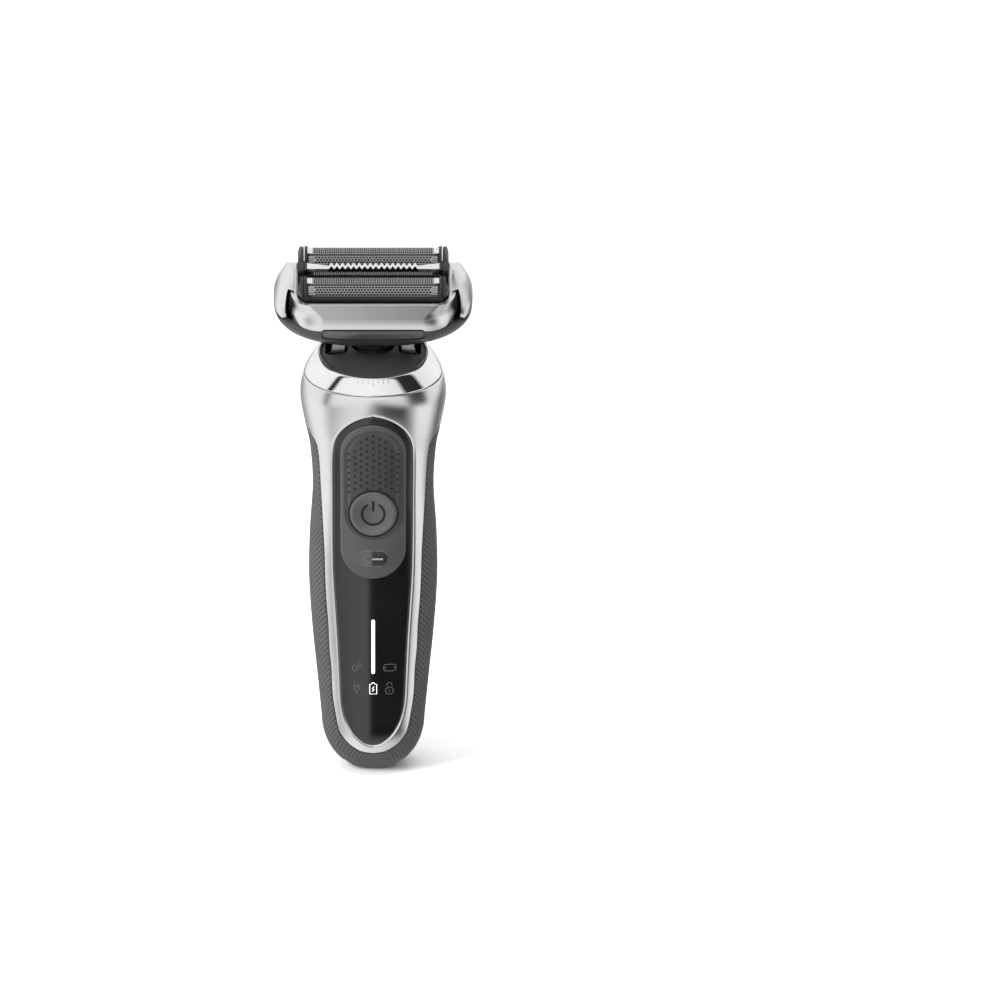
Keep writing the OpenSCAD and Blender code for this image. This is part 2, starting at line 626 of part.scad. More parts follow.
module foil_arch(r, t, half) {
    translate([-half, 0, foil_z]) rotate([90, 0, 90]) linear_extrude(2 * half) difference() {
        union() {
            circle(r, $fn = 64);
            translate([-r, -1.5]) square([2 * r, 1.5]);
        }
        circle(r - t, $fn = 64);
        translate([-r + t, -2]) square([2 * (r - t), 2]);
        translate([-6, -8]) square([12, 6.5]);
    }
}
module foil_at(y) {
    color("silver") in_head() translate([0, y, 0]) foil_arch(foil_r, 0.2, foil_l / 2);
}
// Holder: long rails under the foil and an arched cap at each end
module foil_holder_at(y) {
    color("dimgray") in_head() translate([0, y, 0]) {
        for (s = [-1, 1]) {
            translate([-20.3, s * 4.3 - 0.25, 10.9]) cube([40.6, 0.5, 1.9]);
            translate([s > 0 ? foil_l / 2 + 0.02 : -20.4, 0, 0]) rotate([90, 0, 90])
                linear_extrude(20.38 - foil_l / 2) {
                    difference() {
                        translate([0, foil_z]) circle(4.5, $fn = 48);
                        translate([-6, 4]) square([12, 6.95]);
                    }
                    translate([-4.5, 10.9]) square([9, 2.1]);
                }
            translate([s * 18.2 - 1.6, -4.4, 10.9]) cube([3.2, 8.8, 0.6]);
        }
    }
}
module front_foil() { foil_at(-foil_y); }
module rear_foil() { foil_at(foil_y); }
module front_foil_holder() { foil_holder_at(-foil_y); }
module rear_foil_holder() { foil_holder_at(foil_y); }

// Half-round block of thin blades, with a foot that takes the carriage post
module cutter_at(y) {
    half = foil_l / 2 - 2.4;
    pitch = 2 * half / blades;
    color("silver") in_head() translate([0, y, foil_z]) difference() {
        union() {
            rotate([0, 90, 0]) rotate([0, 0, 90]) rotate_extrude(angle = 180, $fn = 64) polygon(concat(
                [[0, -half], [foil_r - 0.45, -half]],
                [for (i = [0:blades - 2]) each let (z = -half + (i + 1) * pitch)
                    [[foil_r - 0.45, z - pitch * 0.55], [1.9, z - pitch * 0.55], [1.9, z], [foil_r - 0.45, z]]],
                [[foil_r - 0.45, half], [0, half]]));
            translate([-4.4, -1.9, -2.9]) cube([8.8, 3.8, 3]);
        }
        translate([-1.45, -1.05, -4]) cube([2.9, 2.1, 3.5]);
    }
}
module front_cutter() { cutter_at(-foil_y); }
module rear_cutter() { cutter_at(foil_y); }

module zigzag(half, teeth, depth) {
    polygon(concat(
        [for (i = [0:teeth]) [-half + i * 2 * half / teeth, i % 2 == 0 ? -depth : -depth + 0.75]],
        [for (i = [teeth:-1:0]) [-half + i * 2 * half / teeth, i % 2 == 0 ? depth - 0.75 : depth]]));
}
module trimmer_guard() {
    color("silver") in_head() {
        translate([0, 0, 16.5]) linear_extrude(0.5) {
            zigzag(13.2, 32, 1.3);
            for (s = [-1, 1]) translate([s * 16.4 - 3.2, -1.3]) square([6.4, 2.6]);
        }
        for (s = [-1, 1]) translate([-19.6, s * 1.2 - 0.1, 12.7]) cube([39.2, 0.2, 3.1]);
        for (s = [-1, 1], x = [-19.6, 13.3]) translate([x, s * 1.2 - 0.1, 15.7]) cube([6.3, 0.2, 1]);
    }
}
module trimmer_holder() {
    color("dimgray") in_head() for (s = [-1, 1]) {
        translate([s > 0 ? 19.66 : -20.41, -1.6, 10.9]) cube([0.75, 3.2, 6]);
        translate([s * 18.2 - 2.2, -1.0, 11]) cube([4.4, 2, 1.6]);
        translate([-20.3, s * 1.5 - 0.15, 10.9]) cube([40.6, 0.3, 3.6]);
    }
}
module trimmer_blade() {
    color("gainsboro") in_head() difference() {
        union() {
            translate([0, 0, 16.1]) linear_extrude(0.36) {
                zigzag(12.1, 22, 0.95);
                square([24.2, 1], center = true);
            }
            translate([-11, -0.4, 12]) cube([22, 0.8, 4.2]);
            translate([-2.6, -1.28, 10]) cube([5.2, 2.56, 2.6]);
        }
        translate([-1.45, -1.05, 9]) cube([2.9, 2.1, 3.2]);
    }
}

rear_housing();
front_bezel();
display_panel();
button_surround();
thumb_pad();
light_bar();
indicator_symbols();
power_button();
lock_slider();
lock_switch();
collar_ring();
collar_cap();
collar_base();
chassis();
main_board();
status_leds();
tactile_switch();
board_screws();
battery_cell();
battery_tabs();
motor_cradle();
motor_core();
motor_coil();
motor_rods();
armature();
armature_magnets();
drive_pin();
inlet_socket();
contact_pins();
inlet_seal();
release_latch();
neck_yoke();
roll_pins();
neck_boot();
drive_lever();
head_shell();
head_frame();
grip_bar();
head_base();
base_screws();
pitch_pins();
drive_carriage();
ear_button_left();
ear_button_right();
cassette_frame();
cassette_springs();
front_foil();
front_foil_holder();
rear_foil();
rear_foil_holder();
trimmer_guard();
trimmer_holder();
trimmer_blade();
front_cutter();
rear_cutter();
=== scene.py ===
"""Looks of the foil shaver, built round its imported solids. Shapes are worked out in millimetres."""

import json
import math

import bmesh
import bpy
import numpy as np
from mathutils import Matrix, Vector


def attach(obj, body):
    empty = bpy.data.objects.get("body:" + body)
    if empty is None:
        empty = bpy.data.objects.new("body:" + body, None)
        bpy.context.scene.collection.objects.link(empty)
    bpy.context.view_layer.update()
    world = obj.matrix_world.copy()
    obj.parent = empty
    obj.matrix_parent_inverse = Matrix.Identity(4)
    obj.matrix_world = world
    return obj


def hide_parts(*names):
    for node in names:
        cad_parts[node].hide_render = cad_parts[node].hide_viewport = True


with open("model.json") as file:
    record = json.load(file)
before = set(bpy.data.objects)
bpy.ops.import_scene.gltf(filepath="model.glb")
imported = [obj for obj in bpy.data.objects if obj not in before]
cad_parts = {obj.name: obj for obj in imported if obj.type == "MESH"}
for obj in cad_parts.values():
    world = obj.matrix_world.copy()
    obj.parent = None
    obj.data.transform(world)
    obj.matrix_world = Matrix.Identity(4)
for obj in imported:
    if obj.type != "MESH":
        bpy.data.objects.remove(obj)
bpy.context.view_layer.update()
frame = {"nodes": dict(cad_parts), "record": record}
nodes = frame["nodes"]
MM = 0.001

# ---- shape tables
FOOT_H, FOOT_DROP = 16.0, 1.6
SEAM = 126.2
# height, half width, depth of the front, depth of the back
BODY = [(16, 15.7, 12.5, 13), (30, 17, 13.6, 15.2), (46, 18.5, 14.6, 16.8), (62, 19.4, 15.2, 17.4),
        (76, 19.1, 15.4, 16.8), (91, 18.2, 15.6, 15.6), (104, 19, 16.4, 15.8), (112, 20.6, 17.4, 17),
        (120, 21.8, 18.4, 18.2), (126.2, 20.8, 18, 18), (129.5, 19.1, 17.1, 17.1), (132.8, 16.7, 15.6, 15.6)]
HALF_W, FRONT_D, BACK_D = ([(row[0], row[k]) for row in BODY] for k in (1, 2, 3))
LEAN = [(116, 0), (120, 0.02), (126.2, 0.1), (132.8, 0.224)]
BEZEL = [(6.8, 0), (7.4, 3.4), (9.3, 6.6), (11.8, 9), (14.4, 10.5), (19.5, 11.6), (27, 12.6),
         (35, 12.9), (42, 13.5), (50, 13.8), (58, 14.4), (65, 14.7), (73, 14.9), (81, 15.3),
         (93, 15.9), (99, 16.2), (104, 16.6), (108, 17.6), (110.5, 20.1)]
WRAP = [(110.5, 0), (114, 5.4), (119, 9.6), (123, 13), (126.2, 15.5)]
PANEL = [(10.1, 0), (10.35, 1.5), (11, 2.75), (13, 5.1), (16, 7.2), (19, 8.5), (24, 9.5),
         (35, 10), (45, 10.4), (55, 11), (65, 11.6), (75, 11.9), (90, 12), (105.5, 12),
         (109, 11.55), (112.5, 9.8), (115.5, 6.7), (117.5, 3.0), (118.2, 0)]
SQUARE = [(96, 2.6), (112, 2.5), (120, 2.25), (126.2, 2.07), (132.8, 2)]
LEAN_FROM = LEAN[0][0]
BEZEL_LOW, SIDE_TOP = BEZEL[0][0], BEZEL[-1][0]
PANEL_LOW, PANEL_TOP = PANEL[0][0], PANEL[-1][0]


def smooth(table, x):
    """Cubic lookup through a table of (x, y) rows."""
    t = np.array(table, float)
    x = np.asarray(x, float)
    i = np.clip(np.searchsorted(t[:, 0], x, side="right") - 1, 0, len(t) - 2)
    a, b = np.maximum(np.arange(len(t)) - 1, 0), np.minimum(np.arange(len(t)) + 1, len(t) - 1)
    slope = (t[b, 1] - t[a, 1]) / (t[b, 0] - t[a, 0])
    h = t[i + 1, 0] - t[i, 0]
    u = np.clip((x - t[i, 0]) / h, 0, 1)
    return ((2 * u**3 - 3 * u**2 + 1) * t[i, 1] + (u**3 - 2 * u**2 + u) * slope[i] * h
            + (3 * u**2 - 2 * u**3) * t[i + 1, 1] + (u**3 - u**2) * slope[i + 1] * h)


def linear(table, x):
    t = np.array(table, float)
    return np.interp(x, t[:, 0], t[:, 1])


def sized(s):
    """Half width, front depth, back depth and foot factor of the handle at height s."""
    s = np.asarray(s, float)
    k = np.clip((FOOT_H - s) / (FOOT_H + FOOT_DROP), 0, 0.9998)
    c = np.where(s >= FOOT_H, 1.0, np.sqrt(1 - k * k))
    return smooth(HALF_W, s), smooth(FRONT_D, s), smooth(BACK_D, s), c


def skin(s, a, inset=0.0):
    """Points of the handle's surface at height s and angle a (radians, -pi/2 is the front)."""
    w, f, b, c = sized(s)
    ca, sa = np.cos(a), np.sin(a)
    d = np.where(sa < 0, f, b)
    n = smooth(SQUARE, s)
    x = (w - inset) * c * np.sign(ca) * np.abs(ca) ** (2 / n)
    y = (d - inset) * c * np.sign(sa) * np.abs(sa) ** (2 / n)
    k = np.where(np.asarray(s) < LEAN_FROM, 0, smooth(LEAN, s))
    return np.stack(np.broadcast_arrays(x, y, s + k * y), axis=-1)


def angle_at_x(s, x):
    w, _, _, c = sized(s)
    n = smooth(SQUARE, s)
    return -np.arccos(np.clip(np.asarray(x) / (w * c), 0, 1) ** (n / 2))


def angle_at_back(s, y):
    return np.arcsin(np.clip(np.asarray(y) / sized(s)[2], 0, 1) ** (smooth(SQUARE, s) / 2))


def bezel_angle(s):
    """Where the bezel meets the rubber, on the right-hand side."""
    return np.where(s > SIDE_TOP, angle_at_back(s, linear(WRAP, s)), angle_at_x(s, smooth(BEZEL, s)))


def panel_angle(s):
    s = np.asarray(s, float)
    inside = (s >= PANEL_LOW) & (s <= PANEL_TOP)
    x = np.where(inside, smooth(PANEL, np.clip(s, PANEL_LOW, PANEL_TOP)), 0.0)
    return angle_at_x(s, np.maximum(x, 0))


def front_y(x, z, proud=0.0):
    """Depth of the handle's front at (x, z), seen from the front."""
    x, z = np.asarray(x, float), np.asarray(z, float)
    s = z
    for _ in range(4):
        w, f, _, c = sized(s)
        n = smooth(SQUARE, s)
        y = -f * c * (1 - np.clip(np.abs(x) / (w * c), 0, 1) ** n) ** (1 / n)
        s = z - np.where(z < LEAN_FROM, 0, smooth(LEAN, s)) * y
    return y - proud


def back_y(x, z, proud=0.0):
    w, _, b, c = sized(z)
    n = smooth(SQUARE, z)
    return b * c * (1 - np.clip(np.abs(x) / (w * c), 0, 1) ** n) ** (1 / n) + proud


def near(points, line, chunk=4000):
    """Distance of each point from a polyline."""
    p = points.reshape(-1, 3)
    a, b = line[:-1], line[1:]
    ab = b - a
    len2 = np.maximum((ab**2).sum(1), 1e-9)
    out = np.empty(len(p))
    for i in range(0, len(p), chunk):
        q = p[i:i + chunk, None, :]
        t = np.clip(((q - a) * ab).sum(2) / len2, 0, 1)
        out[i:i + chunk] = np.sqrt((((a + t[..., None] * ab) - q) ** 2).sum(2).min(1))
    return out.reshape(points.shape[:-1])


def roll(d, r):
    """How far a rounded edge of radius r drops at distance d from the edge."""
    d = np.clip(d, 0, r)
    return r - np.sqrt(np.maximum(r * r - (r - d) ** 2, 0))


# ---- mesh helpers
def new_object(name, verts, faces, merge=0.0):
    """New object in the scene from vertices in millimetres, with its faces turned outwards."""
    mesh = bpy.data.meshes.new(name)
    mesh.from_pydata([tuple(v) for v in np.asarray(verts, float) * MM], [], [tuple(f) for f in faces])
    bm = bmesh.new()
    bm.from_mesh(mesh)
    if merge:
        bmesh.ops.remove_doubles(bm, verts=bm.verts, dist=merge * MM)
    bmesh.ops.recalc_face_normals(bm, faces=bm.faces)
    bm.to_mesh(mesh)
    bm.free()
    obj = bpy.data.objects.new(name, mesh)
    bpy.context.scene.collection.objects.link(obj)
    return obj


def solid(name, shape):
    return new_object(name, *shape)


def dress(obj, body, look, slot=None, replaces=None, sharp=None, smooth_shade=True):
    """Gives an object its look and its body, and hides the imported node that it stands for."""
    mesh = obj.data
    if smooth_shade:
        mesh.polygons.foreach_set("use_smooth", [True] * len(mesh.polygons))
        if sharp:
            mesh.set_sharp_from_angle(angle=math.radians(sharp))
    mesh.materials.clear()
    mesh.materials.append(M[look])
    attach(obj, body)
    if replaces:
        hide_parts(replaces)


def add_mesh(name, shape, body, look, slot=None, merge=0.002, **more):
    obj = new_object(name, *shape, merge)
    dress(obj, body, look, slot, **more)
    return obj


def grid_faces(rows, cols, wrap=False):
    out = []
    for i in range(rows - 1):
        for j in range(cols if wrap else cols - 1):
            k = (j + 1) % cols
            out.append((i * cols + j, i * cols + k, (i + 1) * cols + k, (i + 1) * cols + j))
    return out


def pieces(shapes):
    """Joins several (verts, faces) shapes into one."""
    verts, faces, n = [], [], 0
    for v, f in shapes:
        verts.append(np.asarray(v, float).reshape(-1, 3))
        faces += [tuple(i + n for i in face) for face in f]
        n += len(verts[-1])
    return np.concatenate(verts), faces


def sheet(rows, wrap=False):
    """Surface through rows of points; wrap joins each row's end to its start."""
    grid = np.asarray(rows, float)
    return grid.reshape(-1, 3), grid_faces(*grid.shape[:2], wrap)


def capped(rings):
    """Surface through closed rings, with the last one filled in."""
    v, f = sheet(rings, True)
    return v, f + [tuple(range(len(v) - len(rings[0]), len(v)))]


def loft_shape(rings):
    """Solid through closed rings."""
    v, f = sheet(rings, True)
    n = len(rings[0])
    return v, f + [tuple(range(n))[::-1], tuple(range(len(v) - n, len(v)))]


def mirrored(rows):
    """Surface through rows of points, with its mirror image across x = 0."""
    v, f = sheet(rows)
    return pieces([(v, f), (v * [-1, 1, 1], [q[::-1] for q in f])])


def box_shape(xs, ys, zs):
    """Box between two values along each axis, given in either order."""
    v = [(x, y, z) for z in sorted(zs) for y in sorted(ys) for x in sorted(xs)]
    return v, [(0, 2, 3, 1), (4, 5, 7, 6), (0, 1, 5, 4), (2, 6, 7, 3), (0, 4, 6, 2), (1, 3, 7, 5)]


def prism_shape(outline, lo, hi, axis="z"):
    """Extrudes a flat outline; axis says which way it is extruded."""
    n = len(outline)
    put = {"x": lambda p, h: (h, p[0], p[1]), "y": lambda p, h: (p[0], h, p[1]),
           "z": lambda p, h: (p[0], p[1], h)}[axis]
    v = [put(p, h) for h in (lo, hi) for p in outline]
    f = [tuple(range(n))[::-1], tuple(range(n, 2 * n))]
    f += [(i, (i + 1) % n, n + (i + 1) % n, n + i) for i in range(n)]
    return v, f


def pillar_shape(x, y, r, lo, hi, n=64):
    """Upright cylinder."""
    a = np.linspace(0, 2 * math.pi, n, endpoint=False)
    return loft_shape([np.stack([x + r * np.cos(a), y + r * np.sin(a), np.full(n, float(h))], -1)
                       for h in (lo, hi)])


def rounded_rect(hx, hy, r, seg=12):
    pts = []
    for a0, sx, sy in ((0, 1, 1), (90, -1, 1), (180, -1, -1), (270, 1, -1)):
        for i in range(seg + 1):
            a = math.radians(a0 + 90 * i / seg)
            pts.append((sx * (hx - r) + r * math.cos(a), sy * (hy - r) + r * math.sin(a)))
    return pts


def bevel(obj, width, segments=3, angle=30):
    m = obj.modifiers.new("edges", "BEVEL")
    m.width = width * MM
    m.segments = segments
    m.limit_method = "ANGLE"
    m.angle_limit = math.radians(angle)
    m.harden_normals = True


def cut(obj, shapes, op="DIFFERENCE"):
    """Boolean with a list of shapes in the object's own space, applied at once."""
    for shape in shapes:
        tool = solid("cutter", shape)
        tool.matrix_world = obj.matrix_world
        m = obj.modifiers.new("cut", "BOOLEAN")
        m.operation, m.solver, m.object = op, "EXACT", tool
        bpy.context.view_layer.update()
        deps = bpy.context.evaluated_depsgraph_get()
        old, obj_mesh = obj.data, bpy.data.meshes.new_from_object(obj.evaluated_get(deps))
        obj.modifiers.remove(m)
        obj.data = obj_mesh
        tool_mesh = tool.data
        bpy.data.objects.remove(tool)
        for mesh in (old, tool_mesh):
            bpy.data.meshes.remove(mesh)

# ---- materials
M = {}


def plug(tree, node, sockets):
    """Sets a node's inputs; a value is a constant, or another node's output to link."""
    for key, value in sockets.items():
        if isinstance(value, bpy.types.NodeSocket):
            tree.links.new(value, node.inputs[key])
        else:
            node.inputs[key].default_value = value


def shader(tree, kind, output, sockets, **settings):
    """Adds a shader node and returns one of its outputs."""
    node = tree.nodes.new("ShaderNode" + kind)
    for key, value in settings.items():
        setattr(node, key, value)
    plug(tree, node, sockets)
    return node.outputs[output]


def calc(tree, op, *values):
    return shader(tree, "Math", "Value", dict(enumerate(values)), operation=op)


def color_ramp(tree, stops, value):
    """Blends between (position, colour) stops."""
    node = tree.nodes.new("ShaderNodeValToRGB")
    elements = node.color_ramp.elements
    elements[0].position, elements[1].position = stops[0][0], stops[-1][0]
    for at, _ in stops[1:-1]:
        elements.new(at)
    for element, (_, color) in zip(elements, stops):
        element.color = (*color, 1)
    plug(tree, node, {"Fac": value})
    return node.outputs["Color"]


def new_material(name):
    M[name] = bpy.data.materials.new(name)
    M[name].use_nodes = True
    tree = M[name].node_tree
    return tree, next(n for n in tree.nodes if n.type == "BSDF_PRINCIPLED")


def surface(name, color, rough, metal=0.0, vary=0.06, scale=60.0, rough_vary=0.05, bump=0.0,
            bump_scale=900.0, stretch=(1, 1, 1), coat=0.0, dimples=None, glow=0.0):
    """A surface whose tone and roughness drift a little, with an optional fine relief or glow; dimples also
    darken their pits with painted shade.
    """
    tree, bsdf = new_material(name)
    place = shader(tree, "TexCoord", "Object", {})
    stretched = shader(tree, "Mapping", "Vector", {"Vector": place, "Scale": stretch})
    noise = shader(tree, "TexNoise", "Fac", {"Vector": stretched, "Scale": scale, "Detail": 4})
    lo = [max(0.0, c * (1 - vary)) for c in color]
    hi = [min(1.0, c * (1 + vary)) for c in color]
    tone = color_ramp(tree, [(0.3, lo), (0.7, hi)], noise)
    drift = shader(tree, "MapRange", "Result", {"Value": noise, "To Min": max(0.02, rough - rough_vary),
                                                "To Max": min(1.0, rough + rough_vary)})
    look = {"Base Color": tone, "Roughness": drift, "Metallic": metal}
    if coat:
        look.update({"Coat Weight": coat, "Coat Roughness": 0.05})
    if glow:
        look.update({"Emission Color": (*color, 1), "Emission Strength": glow})
    if dimples:
        # slanted rows of small round pits, laid round the handle's axis, with painted shade darkening each
        # pit
        x, y, z = shader(tree, "SeparateXYZ", "X", {"Vector": place}).node.outputs
        turn = calc(tree, "ARCTAN2", x, calc(tree, "MULTIPLY", y, 1.25))
        flat = shader(tree, "CombineXYZ", "Vector", {"X": calc(tree, "MULTIPLY", turn, 0.0176), "Y": z})
        slant = shader(tree, "Mapping", "Vector", {"Vector": flat, "Rotation": (0, 0, math.radians(45))})
        cells = shader(tree, "TexVoronoi", "Distance", {"Vector": slant, "Scale": dimples, "Randomness": 0.0},
                       voronoi_dimensions="2D")
        pit = shader(tree, "MapRange", "Result", {"Value": cells, "From Min": 0.12, "From Max": 0.42})
        look["Normal"] = shader(tree, "Bump", "Normal", {"Height": pit, "Strength": 0.75, "Distance": 0.0003})
        # painted shade in each pit: a quarter of the rubber's colour at the pit's middle, blending to its own
        # tone at the rim
        painted_shade = (*[c * 0.25 for c in color], 1)
        look["Base Color"] = shader(tree, "Mix", "Result", {"Factor": pit, "A": painted_shade, "B": tone},
                                    data_type="RGBA")
    elif bump:
        fine = shader(tree, "TexNoise", "Fac", {"Vector": stretched, "Scale": bump_scale})
        look["Normal"] = shader(tree, "Bump", "Normal", {"Height": fine, "Strength": bump,
                                                         "Distance": 0.0001})
    plug(tree, bsdf, look)
surface("satin_silver", (0.8, 0.805, 0.81), 0.24, metal=1.0, vary=0.03, bump=0.02, bump_scale=2500,
        stretch=(0.05, 1, 1))
surface("chrome", (0.88, 0.885, 0.89), 0.07, metal=1.0, vary=0.02, rough_vary=0.015)
# grip rubber: its dimples get painted shade in their pits
surface("grip_rubber", (0.06, 0.061, 0.064), 0.5, vary=0.1, dimples=820.0)
surface("gloss_black", (0.006, 0.006, 0.007), 0.06, vary=0.2, rough_vary=0.01, coat=0.6)
surface("pad_grey", (0.045, 0.047, 0.05), 0.33, vary=0.08, bump=0.12, bump_scale=3500)
surface("cap_grey", (0.03, 0.031, 0.033), 0.36, vary=0.06, bump=0.08)
surface("shell_grey", (0.075, 0.078, 0.083), 0.24, metal=0.75, vary=0.05)
surface("button_silver", (0.13, 0.133, 0.138), 0.3, metal=0.7, vary=0.05)
surface("light_white", (0.95, 0.97, 1.0), 0.3, glow=1.1)
surface("symbol_grey", (0.07, 0.072, 0.075), 0.4)
surface("cassette_black", (0.01, 0.01, 0.011), 0.28, vary=0.1)
surface("foil_steel", (0.36, 0.363, 0.368), 0.25, metal=1.0, vary=0.04, scale=300)
surface("blade_steel", (0.5, 0.5, 0.51), 0.28, metal=1.0, vary=0.05, scale=400)
surface("pin_steel", (0.6, 0.6, 0.61), 0.25, metal=1.0)
surface("frame_grey", (0.16, 0.165, 0.17), 0.5, bump=0.1)
surface("board_green", (0.015, 0.12, 0.05), 0.35, vary=0.12, scale=300)
surface("cell_blue", (0.03, 0.13, 0.33), 0.3, vary=0.05)
surface("copper", (0.7, 0.33, 0.15), 0.3, metal=1.0, vary=0.15, scale=200, stretch=(1, 1, 12))
surface("contact_gold", (0.83, 0.6, 0.22), 0.2, metal=1.0)
surface("core_steel", (0.3, 0.3, 0.31), 0.45, metal=1.0, vary=0.15, scale=100, stretch=(1, 14, 1))
surface("slider_white", (0.75, 0.75, 0.73), 0.4)
surface("part_black", (0.012, 0.012, 0.013), 0.4, vary=0.15, bump=0.08)
surface("seal_red", (0.45, 0.05, 0.03), 0.5)
# near-black for the printed power symbol, and for painted shade in the gaps, slits and grooves
surface("shade_and_print_black", (0.004, 0.004, 0.004), 0.7, vary=0.2)
surface("thumb_grey", (0.024, 0.0255, 0.028), 0.36, vary=0.08, bump=0.12, bump_scale=3500)
surface("bar_grey", (0.12, 0.124, 0.13), 0.2, metal=0.75, vary=0.05)
# painted shade: near-black steel for the cutters and the trimmer blade inside the head
surface("painted_shade_steel", (0.035, 0.035, 0.037), 0.35, metal=0.8, vary=0.1, scale=400)
surface("bright_steel", (0.86, 0.865, 0.87), 0.16, metal=1.0, vary=0.03, scale=300)
surface("track_grey", (0.075, 0.078, 0.083), 0.3, metal=0.2, vary=0.06)
surface("dot_grey", (0.003, 0.003, 0.0035), 0.5, vary=0.1)
surface("symbol_mid", (0.22, 0.23, 0.24), 0.4)
surface("symbol_white", (0.92, 0.93, 0.95), 0.3, glow=0.9)

# every imported node takes its slot's look, but the cutters and the trimmer blade take a near-black steel:
# painted shade, since their real steel is bright and only shaded inside the head
slot_of = {s["node"]: s["material_slot"] for s in frame["record"]["subparts"]}
for name, obj in nodes.items():
    obj.data.materials.clear()
    painted_shade = name in ("front_cutter", "rear_cutter", "trimmer_blade")
    obj.data.materials.append(M["painted_shade_steel" if painted_shade else slot_of[name]])

# ---- edge lines of the handle
rise = np.concatenate([BEZEL_LOW + 3.2 * np.linspace(0, 1, 22) ** 2, np.linspace(PANEL_LOW, SEAM, 250)])
RIGHT_EDGE = skin(rise, bezel_angle(rise))
BEZEL_LINE = np.concatenate([(RIGHT_EDGE * [-1, 1, 1])[::-1], RIGHT_EDGE])
climb = np.concatenate([PANEL_LOW + 5 * np.linspace(0, 1, 40) ** 2.2, np.linspace(15.2, 113, 120),
                        PANEL_TOP - 5.1 * np.linspace(1, 0, 40) ** 2.2])
RIGHT_PANEL = skin(climb, panel_angle(climb))
PANEL_LINE = np.concatenate([RIGHT_PANEL, (RIGHT_PANEL * [-1, 1, 1])[::-1]])


EDGE_STEPS = np.array([0.08, 0.2, 0.35, 0.55, 0.8, 1.1])


def strip(s, a0, a1, n, left=True):
    """Angles along one row of the skin: even by arc length, with close ones near the rounded edges."""
    fine = np.linspace(a0, a1, 200)
    arc = np.concatenate([[0], np.cumsum(np.linalg.norm(np.diff(skin(s, fine), axis=0), axis=1))])
    e = EDGE_STEPS * np.minimum(1.0, arc[-1] / 6.0) / max(arc[-1], 1e-6)
    t = np.concatenate([np.linspace(0, 1, n)] + [e] * left + [1 - e])
    return np.interp(np.sort(np.clip(t, 0, 1)) * arc[-1], arc, fine)


# rubber housing: from the bezel's edge round the back to the other edge
rows_s = np.concatenate([
    [3.0, 4.2, 5.4, 6.2, 6.6], BEZEL_LOW + np.array([0, 0.02, 0.08, 0.2, 0.4, 0.7, 1.1, 1.6, 2.2, 2.9]),
    np.arange(10.5, 108, 1.5), np.arange(108, 126, 0.6), [125.6, 126.0, 126.12]])
housing = []
for s in sorted(set(rows_s.round(3))):
    a0 = -math.pi / 2 if s <= BEZEL_LOW else float(bezel_angle(s))
    a = strip(s, a0, math.pi - a0, 110)
    edge = roll(near(skin(s, a), BEZEL_LINE), 0.55) * (0.62 / 0.55)
    q = skin(s, a, edge + 0.06 + roll(np.maximum(SEAM - s, 0), 0.4))
    ends = skin(s, a[[0, -1]], 1.7) if s > BEZEL_LOW else q[[0, -1]]
    housing.append(np.concatenate([ends[:1], q, ends[1:]]))


def oblong_radius(a, hx, hy):
    """Distance from the middle of an oblong with round ends to its edge at angle a."""
    c, s = abs(math.cos(a)), abs(math.sin(a))
    if s > 1e-9 and c * hy / s <= hx - hy:
        return hy / s
    m = hx - hy
    return m * c + math.sqrt(max(hy * hy - (m * s) ** 2, 0))


def foot_height(xy):
    _, w, front, back = BODY[0]
    d = np.where(xy[:, 1] < 0, front, back)
    n = smooth(SQUARE, 0)
    rho = (np.abs(xy[:, 0] / w) ** n + np.abs(xy[:, 1] / d) ** n) ** (1 / n)
    return np.maximum(FOOT_H - (FOOT_H + FOOT_DROP) * np.sqrt(np.clip(1 - rho**2, 0, 1)), 0)


# rounded foot, from the inlet's rim out to the lowest row
RIM_X, RIM_Y, RIM_TOP = 7.35, 4.95, 2.2
lowest = housing[0]
ang = np.arctan2(lowest[:, 1], lowest[:, 0])
rim = np.stack([np.cos(ang), np.sin(ang)], -1) * [[oblong_radius(a, RIM_X, RIM_Y)] for a in ang]
foot = [np.c_[rim, np.full(len(rim), RIM_TOP)]]
for t in np.linspace(0, 1, 9)[:-1]:
    xy = rim * (1 - t) + lowest[:, :2] * t
    foot.append(np.c_[xy, foot_height(xy) * (1 - t**3) + lowest[:, 2] * t**3])
rear = add_mesh("rubber_grip", sheet(foot + housing), "handle", "grip_rubber", replaces="rear_housing",
                sharp=50)

# opening for the release latch at the back
LATCH_Z, LATCH_X, LATCH_H = 114.0, 6.25, 3.25


def in_oblong(x, z, hx, hz):
    u = np.maximum(np.abs(x) - (hx - hz), 0)
    return np.hypot(u, z) < hz


bm = bmesh.new()
bm.from_mesh(rear.data)
gone = []
for face in bm.faces:
    at = face.calc_center_median() / MM
    if at.y > 5 and in_oblong(at.x, at.z - LATCH_Z, LATCH_X, LATCH_H):
        gone.append(face)
ring = {v for f in gone for v in f.verts if any(g not in gone for g in v.link_faces)}
for v in ring:
    x, z = v.co.x / MM, v.co.z / MM - LATCH_Z
    cx = max(-(LATCH_X - LATCH_H), min(LATCH_X - LATCH_H, x))
    d = math.hypot(x - cx, z) or 1e-6
    nx, nz = cx + (x - cx) / d * LATCH_H, z / d * LATCH_H
    v.co = (nx * MM, float(back_y(nx, nz + LATCH_Z, -0.1)) * MM, (nz + LATCH_Z) * MM)
bmesh.ops.delete(bm, geom=gone, context="FACES")
edges = [e for e in bm.edges if e.is_boundary and e.verts[0] in ring and e.verts[1] in ring]
made = bmesh.ops.extrude_edge_only(bm, edges=edges)["geom"]
for v in (g for g in made if isinstance(g, bmesh.types.BMVert)):
    v.co.y -= 1.7 * MM
bmesh.ops.recalc_face_normals(bm, faces=bm.faces)
bm.to_mesh(rear.data)
bm.free()

